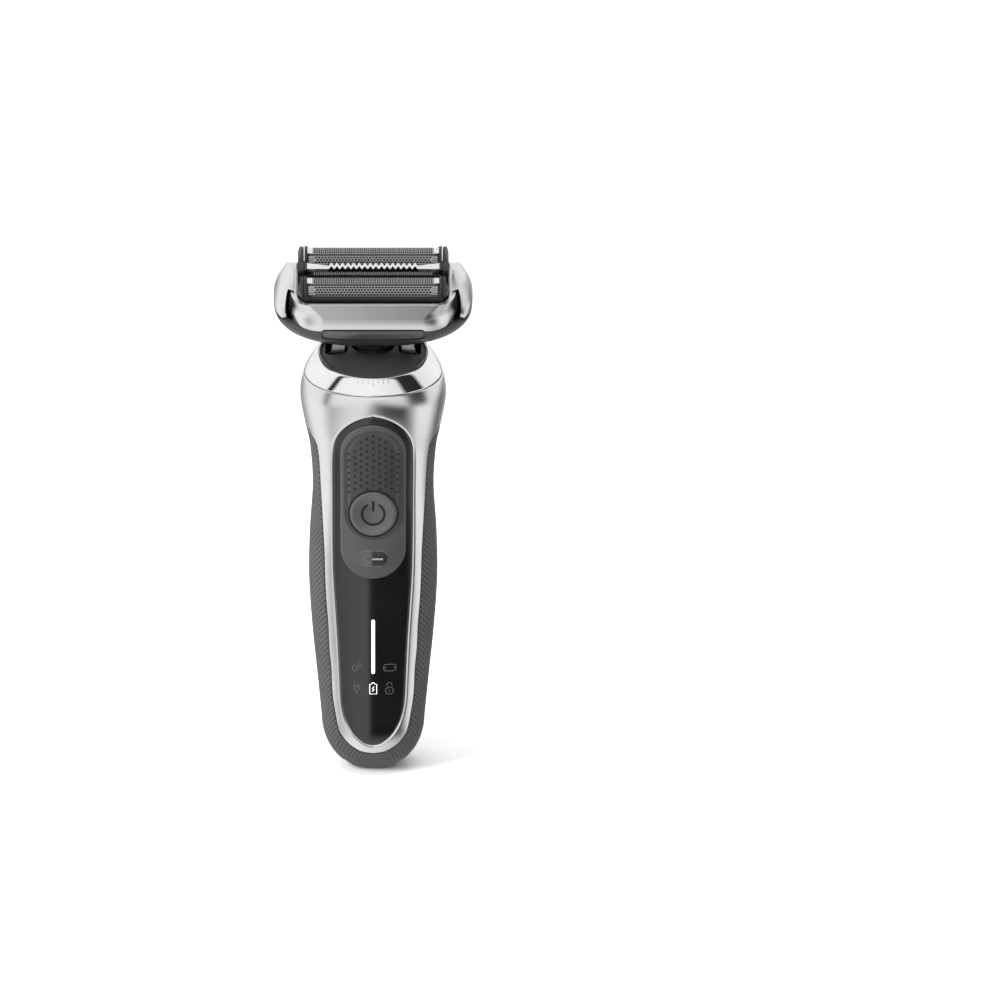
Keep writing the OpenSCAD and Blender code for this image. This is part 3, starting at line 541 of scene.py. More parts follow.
# silver bezel: right half and its mirror image
rows_s = np.concatenate([
    BEZEL_LOW + np.array([0, 0.02, 0.07, 0.16, 0.3, 0.5, 0.8, 1.2, 1.7, 2.3, 2.8, 3.1]),
    PANEL_LOW + np.array([0, 0.02, 0.06, 0.14, 0.28, 0.5, 0.8, 1.2, 1.7, 2.4, 3.2, 4.2, 5.4]),
    np.arange(16.5, 104, 1.4), np.arange(104, 116, 0.5),
    PANEL_TOP - np.array([2.2, 1.7, 1.2, 0.8, 0.5, 0.28, 0.14, 0.06, 0.02, 0]),
    np.arange(118.5, 126.0, 0.5), [126.0, 126.14]])
bezel = []
for s in sorted(set(rows_s.round(3))):
    a1 = -math.pi / 2 + 1e-5 if s <= BEZEL_LOW else float(bezel_angle(s))
    a = strip(s, float(panel_angle(s)), a1, 64)
    p = skin(s, a)
    edges = roll(near(p, BEZEL_LINE), 0.7) + roll(near(p, PANEL_LINE), 0.9) * 0.8
    q = skin(s, a, edges + roll(np.maximum(SEAM - s, 0), 0.35))
    first = skin(s, a[0], 1.4) if PANEL_LOW < s < PANEL_TOP else q[0]
    bezel.append(np.concatenate([[first], q, [skin(s, a[-1], 1.6)]]))
add_mesh("silver_bezel", mirrored(bezel), "handle", "satin_silver", replaces="front_bezel", merge=0.004,
         sharp=55)

PAD_Z, PAD_HALF, PAD_HIGH = 90.65, 9.8, 49.9


def in_pill(v, zc, half, high):
    """Which points lie inside an upright pill, seen from the front."""
    st = high / 2 - half
    return np.hypot(v[:, 0], v[:, 2] - np.clip(v[:, 2], zc - st, zc + st)) < half


def without(verts, faces, inside):
    """Leaves out the faces that lie wholly inside."""
    return verts, [q for q in faces if not all(inside[k] for k in q)]


# gloss panel, open under the controls
panel = []
for s in climb:
    a = strip(s, -math.pi / 2, float(panel_angle(s)), 40, left=False)
    q = skin(s, a, 0.15 + roll(near(skin(s, a), PANEL_LINE), 0.5) * 0.9)
    panel.append(np.concatenate([q, [skin(s, a[-1], 1.3)]]))
v, f = mirrored(panel)
v, f = without(v, f, in_pill(v, PAD_Z, PAD_HALF - 0.5, PAD_HIGH - 1.0))
add_mesh("gloss_panel", (v, f), "handle", "gloss_black", replaces="display_panel", merge=0.004, sharp=50)


def ladder(n, start):
    """Faces that close a ring of n points by joining each point to its mirror image across x = 0."""
    out = []
    for i in range(-n // 4, n // 4):
        q = [i % n, (i + 1) % n, (n // 2 - i - 1) % n, (n // 2 - i) % n]
        q = [start + k for k in dict.fromkeys(q)]
        if len(q) > 2:
            out.append(tuple(q))
    return out


def on_front(x, z, proud):
    """Points on the handle's front, raised by the given height."""
    return np.stack([x, front_y(x, z, proud), z], -1)


def pill_ring(zc, half, high, inset, n):
    """Evenly spaced (x, z) points round an upright pill, drawn in by inset."""
    r = max(half - inset, 0.02)
    st = high / 2 - half
    fine = np.linspace(0, 2 * math.pi, 2001)
    x, z = r * np.cos(fine), zc + r * np.sin(fine) + np.sign(np.sin(fine).round(9)) * st
    arc = np.concatenate([[0], np.cumsum(np.hypot(np.diff(x), np.diff(z)))])
    t = np.linspace(0, arc[-1], n, endpoint=False)
    return np.interp(t, arc, x), np.interp(t, arc, z)


def pill_patch(zc, half, high, profile, n=320):
    """Raised pill on the front; profile is (distance in from the edge, proud) pairs, then a flat top."""
    steps = profile + [(half * k, profile[-1][1]) for k in (0.3, 0.45, 0.6, 0.75, 0.9)]
    steps = [q for i, q in enumerate(steps) if i < len(profile) or q[0] > profile[-1][0]]
    v, f = sheet([on_front(*pill_ring(zc, half, high, inset, n), up) for inset, up in steps], True)
    return v, f + ladder(n, len(v) - n)


def band(points, width, proud, closed=False):
    """Flat line of the given width along (x, z) points, lying on the front of the handle."""
    p = np.array(points, float)
    nxt = np.roll(p, -1, 0) if closed else np.concatenate([p[1:], 2 * p[-1:] - p[-2:-1]])
    prv = np.roll(p, 1, 0) if closed else np.concatenate([2 * p[:1] - p[1:2], p[:-1]])
    d = nxt - prv
    d /= np.maximum(np.hypot(d[:, 0], d[:, 1]), 1e-9)[:, None]
    nrm = np.stack([-d[:, 1], d[:, 0]], -1) * width / 2
    rows = []
    for k in (-1, 1):
        q = p + nrm * k
        y = proud(q[:, 0], q[:, 1]) if callable(proud) else front_y(q[:, 0], q[:, 1], proud)
        rows.append(np.stack([q[:, 0], y, q[:, 1]], -1))
    if closed:
        rows = [np.concatenate([r, r[:1]]) for r in rows]
    return sheet(rows)


def arc_points(cx, cz, r, a0, a1, n=48):
    t = np.radians(np.linspace(a0, a1, n))
    return np.stack([cx + r * np.cos(t), cz + r * np.sin(t)], -1)


def outline(cx, cz, hx, hz, r, n=8):
    return [(cx + x, cz + z) for x, z in rounded_rect(hx, hz, r, n)]


# ---- controls
THUMB_Z, THUMB_HALF, THUMB_HIGH = 96.1, 8.9, 35.4
BUTTON_Z, BUTTON_R, WELL_R = 86.7, 7.1, 7.24
LOCK_Z = 72.3


def round_opening(v, f, radius, level):
    """Opens the mesh round the power button, with the opening's edge at the given height."""
    apart = np.hypot(v[:, 0], v[:, 2] - BUTTON_Z)
    v, f = without(v, f, apart < radius)
    under = (apart < radius) & (apart > 1e-6)
    grow = radius / apart[under]
    v[under] = on_front(v[under, 0] * grow, BUTTON_Z + (v[under, 2] - BUTTON_Z) * grow, level)
    return v, f


def front_rings(cx, cz, steps, n):
    """Rings round a point on the front, one for each (radius, proud) pair."""
    a = np.linspace(0, 2 * math.pi, n, endpoint=False)
    return [on_front(cx + r * np.cos(a), cz + r * np.sin(a), up) for r, up in steps]


# surround: rounded outer rim, then a step down to the thumb pad's level
v, f = pill_patch(PAD_Z, PAD_HALF, PAD_HIGH, [
    (0.0, -0.5), (0.0, 0.02), (0.06, 0.2), (0.18, 0.36), (0.36, 0.46), (0.6, 0.5), (0.75, 0.5)])
v, f = without(v, f, in_pill(v, THUMB_Z, THUMB_HALF - 0.3, THUMB_HIGH - 0.6))
add_mesh("control_surround", round_opening(v, f, WELL_R + 0.12, 0.47), "handle", "pad_grey",
         replaces="button_surround", sharp=40)
v, f = pill_patch(THUMB_Z, THUMB_HALF, THUMB_HIGH, [
    (0.0, 0.3), (0.0, 0.52), (0.1, 0.62), (0.25, 0.66), (0.5, 0.6), (1.1, 0.5), (2.2, 0.44)])
add_mesh("thumb_rest", round_opening(v, f, WELL_R, 0.44), "handle", "thumb_grey", "pad_grey",
         replaces="thumb_pad", sharp=40)

# staggered grip dots above the button
DOT = ((0.36, 0.46), (0.33, 0.56), (0.2, 0.62), (0.02, 0.64))
dots = []
for col in range(9):
    x = (col - 4) * 1.82
    for row in range(12):
        z = 93.6 + row * 2.05 + (1.02 if col % 2 else 0)
        if z <= 112.2 - 0.11 * x * x and math.hypot(x, z - BUTTON_Z) >= BUTTON_R + 0.9:
            dots.append(sheet(front_rings(x, z, DOT, 14), True))
add_mesh("grip_dots", pieces(dots), "handle", "dot_grey", "pad_grey", merge=0)

DISH_R, DISH_RIM = 6.4, 0.78


def button_level(r):
    """Height of the dished power button over the handle's surface, at radius r."""
    r = np.asarray(r, float)
    dish = DISH_RIM - 0.62 * np.clip(1 - (r / DISH_R) ** 2, 0, 1)
    return np.minimum(np.where(r < DISH_R, dish, DISH_RIM), DISH_RIM - roll(BUTTON_R - r, 0.55))


radii = [BUTTON_R, 7.07, 7.0, 6.9, 6.75, 6.6, 6.4, 6.1, 5.6, 5, 4.4, 3.8, 3.2, 2.6, 2, 1.4, 0.8, 0.2]
steps = [(BUTTON_R, -1.6)] + [(r, button_level(r)) for r in radii]
add_mesh("power_button_cap", capped(front_rings(0, BUTTON_Z, steps, 128)), "power_button",
         "button_silver", replaces="power_button", sharp=60)


def on_button(x, z):
    return front_y(x, z, button_level(np.hypot(x, z - BUTTON_Z)) + 0.05)


symbol = [band(arc_points(0, BUTTON_Z - 0.15, 3.35, 118, 422, 90), 0.72, on_button),
          band([(0, BUTTON_Z + 0.7 + 0.25 * i) for i in range(15)], 0.72, on_button)]
add_mesh("power_symbol", pieces(symbol), "power_button", "shade_and_print_black", "part_black", merge=0)
# painted shade: a black ring over the gap round the button, with a black wall down beside it
wall = arc_points(0, BUTTON_Z, WELL_R, 0, 360, 129).T
shaded_gap = [band(arc_points(0, BUTTON_Z, 7.31, 0, 360, 129), 0.36, 0.63),
        sheet([on_front(*wall, up) for up in (0.63, -1.0, -2.6)])]
add_mesh("button_gap_shade", pieces(shaded_gap), "handle", "shade_and_print_black", "part_black", merge=0)

# lock slider in its shallow pill
track = outline(0, LOCK_Z, 4.85, 2.75, 2.75, 16)
rings = []
for k, up in ((1.0, 0.46), (0.985, 0.56), (0.955, 0.585), (0.925, 0.55), (0.9, 0.51), (0.6, 0.51),
              (0.3, 0.51)):
    q = np.array([(x * k, LOCK_Z + (z - LOCK_Z) * (1 - (1 - k) * 1.7)) for x, z in track])
    rings.append(on_front(*q.T, up))
add_mesh("lock_track", capped(rings), "handle", "track_grey", "pad_grey", merge=0, sharp=50)


def level_front(x, z, proud):
    """Points over the middle of the front, at the same depth from side to side."""
    return np.stack([x, front_y(0 * x, z, proud), z], -1)


KNOB_X, KNOB_R = 2.1, 2.15
knob = np.array([(-0.3, LOCK_Z - KNOB_R), *arc_points(KNOB_X, LOCK_Z, KNOB_R, -90, 90, 31),
                 (-0.3, LOCK_Z + KNOB_R)])
centre = np.array([1.7, LOCK_Z])
rings = [level_front(*(centre + (knob - centre) * (1 - shrink)).T, up)
         for shrink, up in ((0, 0.3), (0, 0.72), (0.05, 0.84), (0.14, 0.9), (0.6, 0.86), (0.98, 0.84))]
add_mesh("lock_knob", capped(rings), "lock_slider", "part_black", replaces="lock_slider", sharp=40)
line = band([(-0.25 + 0.35 * i, LOCK_Z) for i in range(10)], 0.55, lambda x, z: front_y(0 * x, z, 0.93))
add_mesh("lock_line", line, "lock_slider", "symbol_mid", "symbol_grey", merge=0)

# light bar and symbols on the panel
LINE = -0.12
BAR_LOW, BAR_TOP, BAR_R = 34.8, 51.7, 0.5
strips = [band([(0, BAR_LOW + (BAR_TOP - BAR_LOW) * i / 40) for i in range(41)], 2 * BAR_R, LINE)]
for z, start in ((BAR_LOW, 180), (BAR_TOP, 0)):
    end = on_front(*arc_points(0, z, BAR_R, start, start + 180, 17).T, LINE)
    strips.append((end, [tuple(range(17))]))
add_mesh("light_strip", pieces(strips), "handle", "light_white", replaces="light_bar", merge=0)
BATTERY_Z = 29.3
case = [(-1.05, -1.75), (1.05, -1.75), (1.05, 1.45), (0.45, 1.6), (0.3, 2.0), (-0.3, 2.0), (-0.45, 1.6),
        (-1.05, 1.45)]
bolt = [(0.25, 0.75), (-0.3, -0.1), (0.3, -0.1), (-0.25, -0.95)]
battery = [band([(x, BATTERY_Z + z) for x, z in points], 0.2, LINE, closed)
           for points, closed in ((case, True), (bolt, False))]
add_mesh("battery_symbol", pieces(battery), "handle", "symbol_white", "light_white", merge=0)


def drop_shape(cx, cz, r):
    return [*arc_points(cx, cz, r, -220, 40, 27), (cx, cz + 2.3 * r)]


# points, width and whether closed
DIM = [(outline(5.0, 36.3, 1.85, 1.1, 0.9), 0.24, True), ([(3.3, 36.3), (6.7, 36.3)], 0.24, False),
       (drop_shape(-5.6, 35.9, 0.72), 0.22, True), (drop_shape(-4.0, 37.0, 0.5), 0.22, True),
       (arc_points(4.9, 28.6, 1.2, 0, 360, 40), 0.24, False), ([(4.9, 28.1), (4.9, 29.0)], 0.3, False),
       (arc_points(4.9, 30.5, 0.8, -25, 205, 24), 0.24, False),
       ([(-5.9, 29.9), (-5.8, 29.0), (-5.3, 28.5), (-4.7, 28.5), (-4.2, 29.0), (-4.1, 29.9)], 0.24, True),
       ([(-5.5, 30.0), (-5.5, 30.9)], 0.24, False), ([(-4.5, 30.0), (-4.5, 30.9)], 0.24, False),
       ([(-5.0, 28.4), (-5.0, 27.5)], 0.24, False)]
dim = pieces([band(points, width, LINE, closed) for points, width, closed in DIM])
add_mesh("dim_symbols", dim, "handle", "symbol_grey", replaces="indicator_symbols", merge=0)

# ---- collar
around = np.linspace(0, 2 * math.pi, 240, endpoint=False)
PROFILE = [(126.2, 1.2), (126.26, 0.45), (126.32, 0.2), (126.5, 0.05), (126.9, 0), (127.6, 0), (128.4, 0),
           (129.2, 0), (130, 0), (130.8, 0), (131.5, 0), (132.1, 0.04), (132.5, 0.14), (132.7, 0.32),
           (132.78, 0.55), (132.7, 0.8), (132.45, 1.05), (132.1, 1.3), (131.7, 1.55), (131.2, 1.75),
           (130.4, 1.9), (129.6, 2.0)]
add_mesh("chrome_collar", sheet([skin(s, around, inset) for s, inset in PROFILE], True), "handle", "chrome",
         replaces="collar_ring", sharp=60)

NECK_Y, DECK_Z = 3.9, 131.5
edge = skin(DECK_Z, around, 1.62)
rings = [edge - [0, 0, 2.6]]
for k in (1.0, 0.985, 0.95, 0.88, 0.78, 0.66, 0.54, 0.42, 0.3, 0.18, 0.07):
    p = edge * [k, k, 0]
    p[:, 2] = DECK_Z + 0.19 * p[:, 1] + 1.5 * (1 - k**2.2) - (0.35 if k == 1.0 else 0)
    rings.append(p)
cap = solid("collar_deck", loft_shape(rings))
slits = [prism_shape([(sgn * 10.9 + x, NECK_Y + y) for x, y in rounded_rect(3.4, 5.5, 2.2)], 120, 145)
         for sgn in (-1, 1)]
cut(cap, slits + [pillar_shape(0, NECK_Y, 6.7, 120, 145)])
bevel(cap, 0.35, 3, 40)
dress(cap, "handle", "cap_grey", replaces="collar_cap", sharp=45)
# black floor seen through the openings: painted shade for the dark inside of the collar
floor_in = skin(126.5, around, 3.2)
add_mesh("collar_shade_floor", loft_shape([floor_in, floor_in + [0, 0, 0.4]]), "handle", "shade_and_print_black",
         "part_black", smooth_shade=False)

# tick marks on the front of the collar, the middle one longer
ticks = [band([(k * 1.5, 128.0 - (0.5 if k == 0 else 0)), (k * 1.5, 129.1)], 0.22, 0.03)
         for k in range(-3, 4)]
add_mesh("collar_ticks", pieces(ticks), "handle", "symbol_mid", "symbol_grey", merge=0)

# ---- head
PITCH = Vector((0, NECK_Y, 144.65))
TILT = math.radians(23)
HEAD_X = [(-6, 12), (-4.5, 19), (-3, 23.4), (-1, 26.8), (2, 28.9), (5.4, 29.6), (9, 29.15),
          (13, 27.8), (16, 26.2), (18.6, 24.6)]
HEAD_Y = [(-6, 8), (-4.5, 11.5), (-3, 13.4), (-1, 14.6), (2, 15.1), (5.4, 15.2), (8.6, 14.5),
          (12.9, 12.9), (16, 11.6), (18.6, 10)]
HEAD_N = [(-6, 2.6), (-1, 2.9), (4.5, 3.2), (8, 2.5), (12, 2.15), (18.6, 2.05)]
CREASE = 8.6


def lean(points):
    """Head's own coordinates to the shaver's."""
    p = np.asarray(points, float).reshape(-1, 3)
    c, s = math.cos(TILT), math.sin(TILT)
    q = np.stack([p[:, 0], p[:, 1] * c - p[:, 2] * s, p[:, 1] * s + p[:, 2] * c], -1)
    return q + np.array(PITCH)


def leaned(shape):
    return lean(shape[0]), shape[1]


def depth_at(z):
    """Half depth of the head, with a crisp fold at the crease."""
    z = np.asarray(z, float)
    below = smooth(HEAD_Y[:7] + [(11, 14.1)], z)
    above = smooth([(6, 15.35)] + HEAD_Y[6:], z)
    return np.where(z < CREASE, below, above)


def head_ring(z, inset=0.0, count=240):
    """Round the head at height z, evenly spread."""
    a = np.linspace(0, 2 * math.pi, 4 * count, endpoint=False)
    n = smooth(HEAD_N, z)
    w, d = smooth(HEAD_X, z) - inset, depth_at(z) - inset
    c, s = np.cos(a), np.sin(a)
    x = w * np.sign(c) * np.abs(c) ** (2 / n)
    y = d * np.sign(s) * np.abs(s) ** (2 / n)
    x, y = np.append(x, x[0]), np.append(y, y[0])
    arc = np.concatenate([[0], np.cumsum(np.hypot(np.diff(x), np.diff(y)))])
    t = np.linspace(0, arc[-1], count, endpoint=False)
    x, y = np.interp(t, arc, x), np.interp(t, arc, y)
    return np.stack([x, y, np.full(count, float(z))], -1)


def smooth_loop(points, steps=6):
    """Closed Catmull-Rom curve through the points, with its first edge kept straight."""
    p = np.array(points, float)
    out = [tuple(p[0])]
    n = len(p)
    for i in range(1, n):
        a, b = p[i - 1] if i > 1 else p[i], p[i]
        c, d = p[(i + 1) % n], p[(i + 2) % n] if i + 1 < n else p[0]
        for k in range(steps):
            t = k / steps
            out.append(tuple(0.5 * (2 * b + (c - a) * t + (2 * a - 5 * b + 4 * c - d) * t * t
                                    + (3 * b - a - 3 * c + d) * t**3)))
    return out


def spread(lo, hi, ends=(0.03, 0.09, 0.18, 0.3)):
    """Heights from lo to hi, closer together at both ends."""
    mid = list(np.arange(lo + 0.5, hi - 0.4, 0.35))
    return [lo] + [lo + e for e in ends] + mid + [hi - e for e in reversed(ends)] + [hi]


def head_block(lo, hi, edge_lo, edge_hi):
    """Slice of the head with rounded lower and upper edges."""
    return leaned(loft_shape([head_ring(z, roll(z - lo, edge_lo) + roll(hi - z, edge_hi))
                              for z in spread(lo, hi)]))


GRIP_POCKET = prism_shape([(x, z + 2.95) for x, z in rounded_rect(15.3, 2.35, 1.1)], -18, -13.8, "y")

# lower shell, with the grip pocket cut in
shell = solid("head_bowl", head_block(-6, 4.5, 0.6, 0.15))
cut(shell, [leaned(loft_shape([head_ring(z, 1.6) for z in (-4.6, -3.5, -2, 0, 2, 4, 5.2)])),
            leaned(prism_shape(rounded_rect(13.4, 9.7, 3), -8, -3)),
            leaned(prism_shape(rounded_rect(16.7, 4, 0.5), -8, -0.5)),
            leaned(GRIP_POCKET)])
bevel(shell, 0.16, 3, 38)
dress(shell, "head", "shell_grey", replaces="head_shell", sharp=38)
bar = solid("grip_bar_face", leaned(loft_shape([head_ring(z, 0.35) for z in np.arange(0, 5, 0.4)])))
cut(bar, [leaned(prism_shape([(x, z + 2.45) for x, z in rounded_rect(14.8, 1.65, 0.9)], -18, -13.6, "y"))],
    "INTERSECT")
bevel(bar, 0.22, 3, 38)
dress(bar, "head", "bar_grey", "shell_grey", "grip_bar", 38)

# silver bracket: rounded block with a crisp fold, lower at the back
BRACKET_LOW, BRACKET_TOP = 4.6, 12.86
BRACKET_X = [(4.6, 24.85), (7.2, 24.85), (8.6, 24.85), (10, 24.7), (11.5, 24.5), (12.86, 24.3)]
BRACKET_R = [(4.6, 9.4), (5.8, 9.7), (7.2, 10), (8.6, 10.2), (10, 9), (11.5, 7.3), (12.86, 5.6)]
BRACKET_BELOW = [(4.6, 15.22), (6.4, 15.12), (8.6, 14.6), (10.5, 13.9)]
BRACKET_ABOVE = [(6.6, 15.1), (8.6, 14.6), (10, 14.0), (11.5, 13.42), (12.86, 12.9)]


def bracket_ring(z, inset=0.0):
    hy = smooth(BRACKET_BELOW if z < CREASE else BRACKET_ABOVE, z) - inset
    ring = np.array(rounded_rect(smooth(BRACKET_X, z) - inset, hy, smooth(BRACKET_R, z) - inset, 36))
    return np.column_stack([ring, np.full(len(ring), float(z))])


levels = sorted(set(spread(BRACKET_LOW, BRACKET_TOP, (0.04, 0.1, 0.2))
                    + [CREASE - 0.12, CREASE, CREASE + 0.12]))
rings = [bracket_ring(z, roll(z - BRACKET_LOW, 0.12)) for z in levels]
frame_block = solid("head_bracket", leaned(loft_shape(rings)))
cut(frame_block, [leaned(prism_shape([(4, 12.95), (16, 5.75), (16, 20), (4, 20)], -30, 30, "x")),
                  leaned(prism_shape(rounded_rect(22.8, 12.05, 4.6, 20), 6.2, 30)),
                  leaned(prism_shape(rounded_rect(21, 10.4, 3), 3, 7.5)), leaned(GRIP_POCKET)])
bevel(frame_block, 0.2, 3, 30)
dress(frame_block, "head", "satin_silver", replaces="head_frame", sharp=30)

# ear buttons, one each side, reaching over the bracket's ends
EAR_SIDE = smooth_loop([(-9.6, 4), (9.4, 4), (9.3, 7.4), (8.0, 10.4), (6, 12.75), (4, 14.8), (2, 16.6),
                        (0, 17.6), (-2, 17.9), (-4, 17.5), (-6, 16.5), (-7.8, 14.3), (-9, 11.4), (-9.6, 8)])
EAR_FRONT = [(25.62, 0), (25.62, 5.2), (25.95, 6.4), (26.1, 7.8), (26.0, 9.2), (25.8, 10.5), (25.6, 11.7),
             (25.35, 12.6), (25.1, 13.05), (24.0, 13.3), (23.3, 13.4), (23.3, 25), (34, 25), (34, 0)]
for tag, sgn in (("left", -1), ("right", 1)):
    ear = solid("ear_face_" + tag, head_block(4.9, 18.4, 0.3, 1.4))
    cut(ear, [leaned(prism_shape(EAR_SIDE, -34, 34, "x")),
              leaned(prism_shape([(sgn * x, z) for x, z in EAR_FRONT], -22, 22, "y"))], "INTERSECT")
    bevel(ear, 0.5, 4, 32)
    dress(ear, "ear_" + tag, "satin_silver", replaces="ear_button_" + tag, sharp=40)
    # painted shade: a black box in the gap between bracket and ear
    gap_shade_box = box_shape((sgn * 24.0, sgn * 24.75), (-7.5, 7.5), (4.4, 11.4))
    add_mesh("ear_gap_shade_" + tag, leaned(gap_shade_box), "head", "shade_and_print_black", "part_black", merge=0,
             smooth_shade=False)

# ---- cassette
FOIL_Y, FOIL_Z, FOIL_R, FOIL_HALF = 6.6, 13.0, 4.0, 19.6
HOLES_HALF = 17.6
TRAY_X, POCKET_X = 22.4, 20.6
TRAY = rounded_rect(TRAY_X, 11.7, 4.4, 14)
LOBES = [(-11.3, 9), (-11.3, 12.5), (-10.7, 14.6), (-9.4, 16.3), (-7.6, 17.25), (-5.6, 17.25), (-3.6, 16.3),
         (-2.6, 15.4), (-2.0, 16.9), (-1.2, 17.4), (1.2, 17.4), (2.0, 16.9), (2.6, 15.4), (3.6, 16.3),
         (5.6, 17.25), (7.6, 17.25), (9.4, 16.3), (10.7, 14.6), (11.3, 12.5), (11.3, 9)]
tray = solid("cassette_tray", leaned(prism_shape(TRAY, 6.7, 11.4)))
cut(tray, [leaned(prism_shape(LOBES, *sorted((sgn * 20.62, sgn * TRAY_X)), "x")) for sgn in (-1, 1)], "UNION")
cut(tray, [leaned(prism_shape(TRAY, 6.7, 20))], "INTERSECT")
ACROSS = (-POCKET_X, POCKET_X)
pockets = [box_shape(ACROSS, (y - 4.62, y + 4.62), (9, 20)) for y in (-FOIL_Y, FOIL_Y)]
pockets.append(box_shape(ACROSS, (-1.75, 1.75), (9, 20)))
pockets += [box_shape((-5.2, 5.2), (y - 1.6, y + 1.6), (5, 11)) for y in (-FOIL_Y, 0, FOIL_Y)]
pockets += [prism_shape([(sgn * 20.9, 18.2), (sgn * 22.8, 18.2), (sgn * 22.8, 14.6)], y0, y0 + 9.2, "y")
            for sgn in (-1, 1) for y0 in (-11.6, 2.4)]
cut(tray, [leaned(p) for p in pockets])
bevel(tray, 0.35, 3, 30)
dress(tray, "cassette", "cassette_black", replaces="cassette_frame", sharp=38)


def on_arch(y0, x, theta, r=FOIL_R):
    """Point on a foil; theta is 0 at the crest and grows towards the front."""
    t = np.radians(theta)
    return np.stack([x, y0 - r * np.sin(t), FOIL_Z + r * np.cos(t)], -1)


def holed_row(y0, t0, t1, pitch, half_x, half_t, shift, corners):
    """One row of holes between two angles, as quads from each cell's edge to its hole."""
    verts, faces = [], []
    count = int(2 * HOLES_HALF / pitch)
    start = -count * pitch / 2 + shift
    if shift:
        count -= 1
    mid, reach = (t0 + t1) / 2, (t1 - t0) / 2
    edge = [(1, 0), (1, 1), (0, 1), (-1, 1), (-1, 0), (-1, -1), (0, -1), (1, -1)]
    for c in range(count):
        cx = start + (c + 0.5) * pitch
        out = [(cx + ex * pitch / 2, mid + ey * reach) for ex, ey in edge]
        hole = [(cx + ex * half_x * (corners if ex and ey else 1),
                 mid + ey * half_t * (corners if ex and ey else 1)) for ex, ey in edge]
        n = len(verts)
        verts += out + hole
        faces += [(n + k, n + (k + 1) % 8, n + 8 + (k + 1) % 8, n + 8 + k) for k in range(8)]
    for x0, x1 in ((-FOIL_HALF, start), (start + count * pitch, FOIL_HALF)):
        xs = np.linspace(x0, x1, 4)
        for xa, xb in zip(xs, xs[1:]):
            n = len(verts)
            verts += [(xa, t0), (xb, t0), (xb, mid), (xb, t1), (xa, t1), (xa, mid)]
            faces += [(n, n + 1, n + 2, n + 5), (n + 5, n + 2, n + 3, n + 4)]
    v = np.array(verts)
    return on_arch(y0, v[:, 0], v[:, 1]), faces


def plain_row(y0, t0, t1, r=FOIL_R, steps=4):
    xs = np.linspace(-FOIL_HALF, FOIL_HALF, 24)
    return sheet([on_arch(y0, xs, np.full(24, t), r) for t in np.linspace(t0, t1, steps + 1)])


def foil(tag, y0):
    body = tag + "_foil_unit"
    rows = [holed_row(y0, -44 + 12 * k, -32 + 12 * k, 0.64, 0.2, 5.0, 0.0, 0.88) for k in range(5)]
    for start, step, half_t, count in ((28, 10.6, 4.3, 4), (-76, 10, 4.1, 3)):
        rows += [holed_row(y0, start + step * k, start + step + step * k, 0.94, 0.37, half_t,
                           0.47 * (k % 2), 0.66) for k in range(count)]
    rows += [plain_row(y0, *angles) for angles in ((16, 18.4), (25.6, 28), (70.4, 90))]
    rows += [plain_row(y0, -46, -44, steps=1), plain_row(y0, -90, -76)]
    for y in (y0 - FOIL_R, y0 + FOIL_R):
        corners = [(-FOIL_HALF, FOIL_Z), (FOIL_HALF, FOIL_Z), (FOIL_HALF, 11.5), (-FOIL_HALF, 11.5)]
        rows.append(([(x, y, z) for x, z in corners], [(0, 1, 2, 3)]))
    obj = add_mesh(tag + "_foil_mesh", leaned(pieces(rows)), body, "foil_steel", replaces=tag + "_foil",
                   merge=0.004, sharp=50)
    m = obj.modifiers.new("thickness", "SOLIDIFY")
    m.thickness = 0.09 * MM
    m.offset = -1
    # painted shade: a black strip under the open groove between the crest band and the side lattice
    add_mesh(tag + "_foil_groove_shade", leaned(plain_row(y0, 18.4, 25.6, FOIL_R - 0.12)), body, "shade_and_print_black",
             "part_black", merge=0)
    # bright weld plate at each end
    for side, x0, x1 in (("l", -19.5, -18.0), ("r", 18.0, 19.5)):
        xs = np.linspace(x0, x1, 5)
        plate = sheet([on_arch(y0, xs, np.full(5, t), FOIL_R + 0.06) for t in np.linspace(-30, 14, 12)])
        add_mesh(tag + "_foil_end_" + side, leaned(plate), body, "bright_steel", "foil_steel", merge=0)


def foil_skirt(tag, y0):
    """Black edging below the foil on both sides, turned up at the ends."""
    xs = np.concatenate([np.linspace(-20.4, -17.4, 14), np.linspace(-16, 16, 12),
                         np.linspace(17.4, 20.4, 14)])
    u = np.clip((np.abs(xs) - 17.4) / 2.2, 0, 1)
    top = 71 - 27 * (1 - np.sqrt(1 - u * u))
    shapes = []
    for sgn in (1, -1):
        rows = [on_arch(y0, xs, sgn * angle, FOIL_R + out) for angle, out in (
            (top, -0.05), (top, 0.28), (top * 0.75 + 22, 0.42), (np.full(len(xs), 90.0), 0.46))]
        low = rows[-1].copy()
        low[:, 2] = 11.0
        shapes.append(sheet(rows + [low]))
    add_mesh(tag + "_foil_skirt", leaned(pieces(shapes)), tag + "_foil_unit", "cassette_black", merge=0,
             sharp=60)


for build in (foil_skirt, foil):
    build("front", -FOIL_Y)
    build("rear", FOIL_Y)

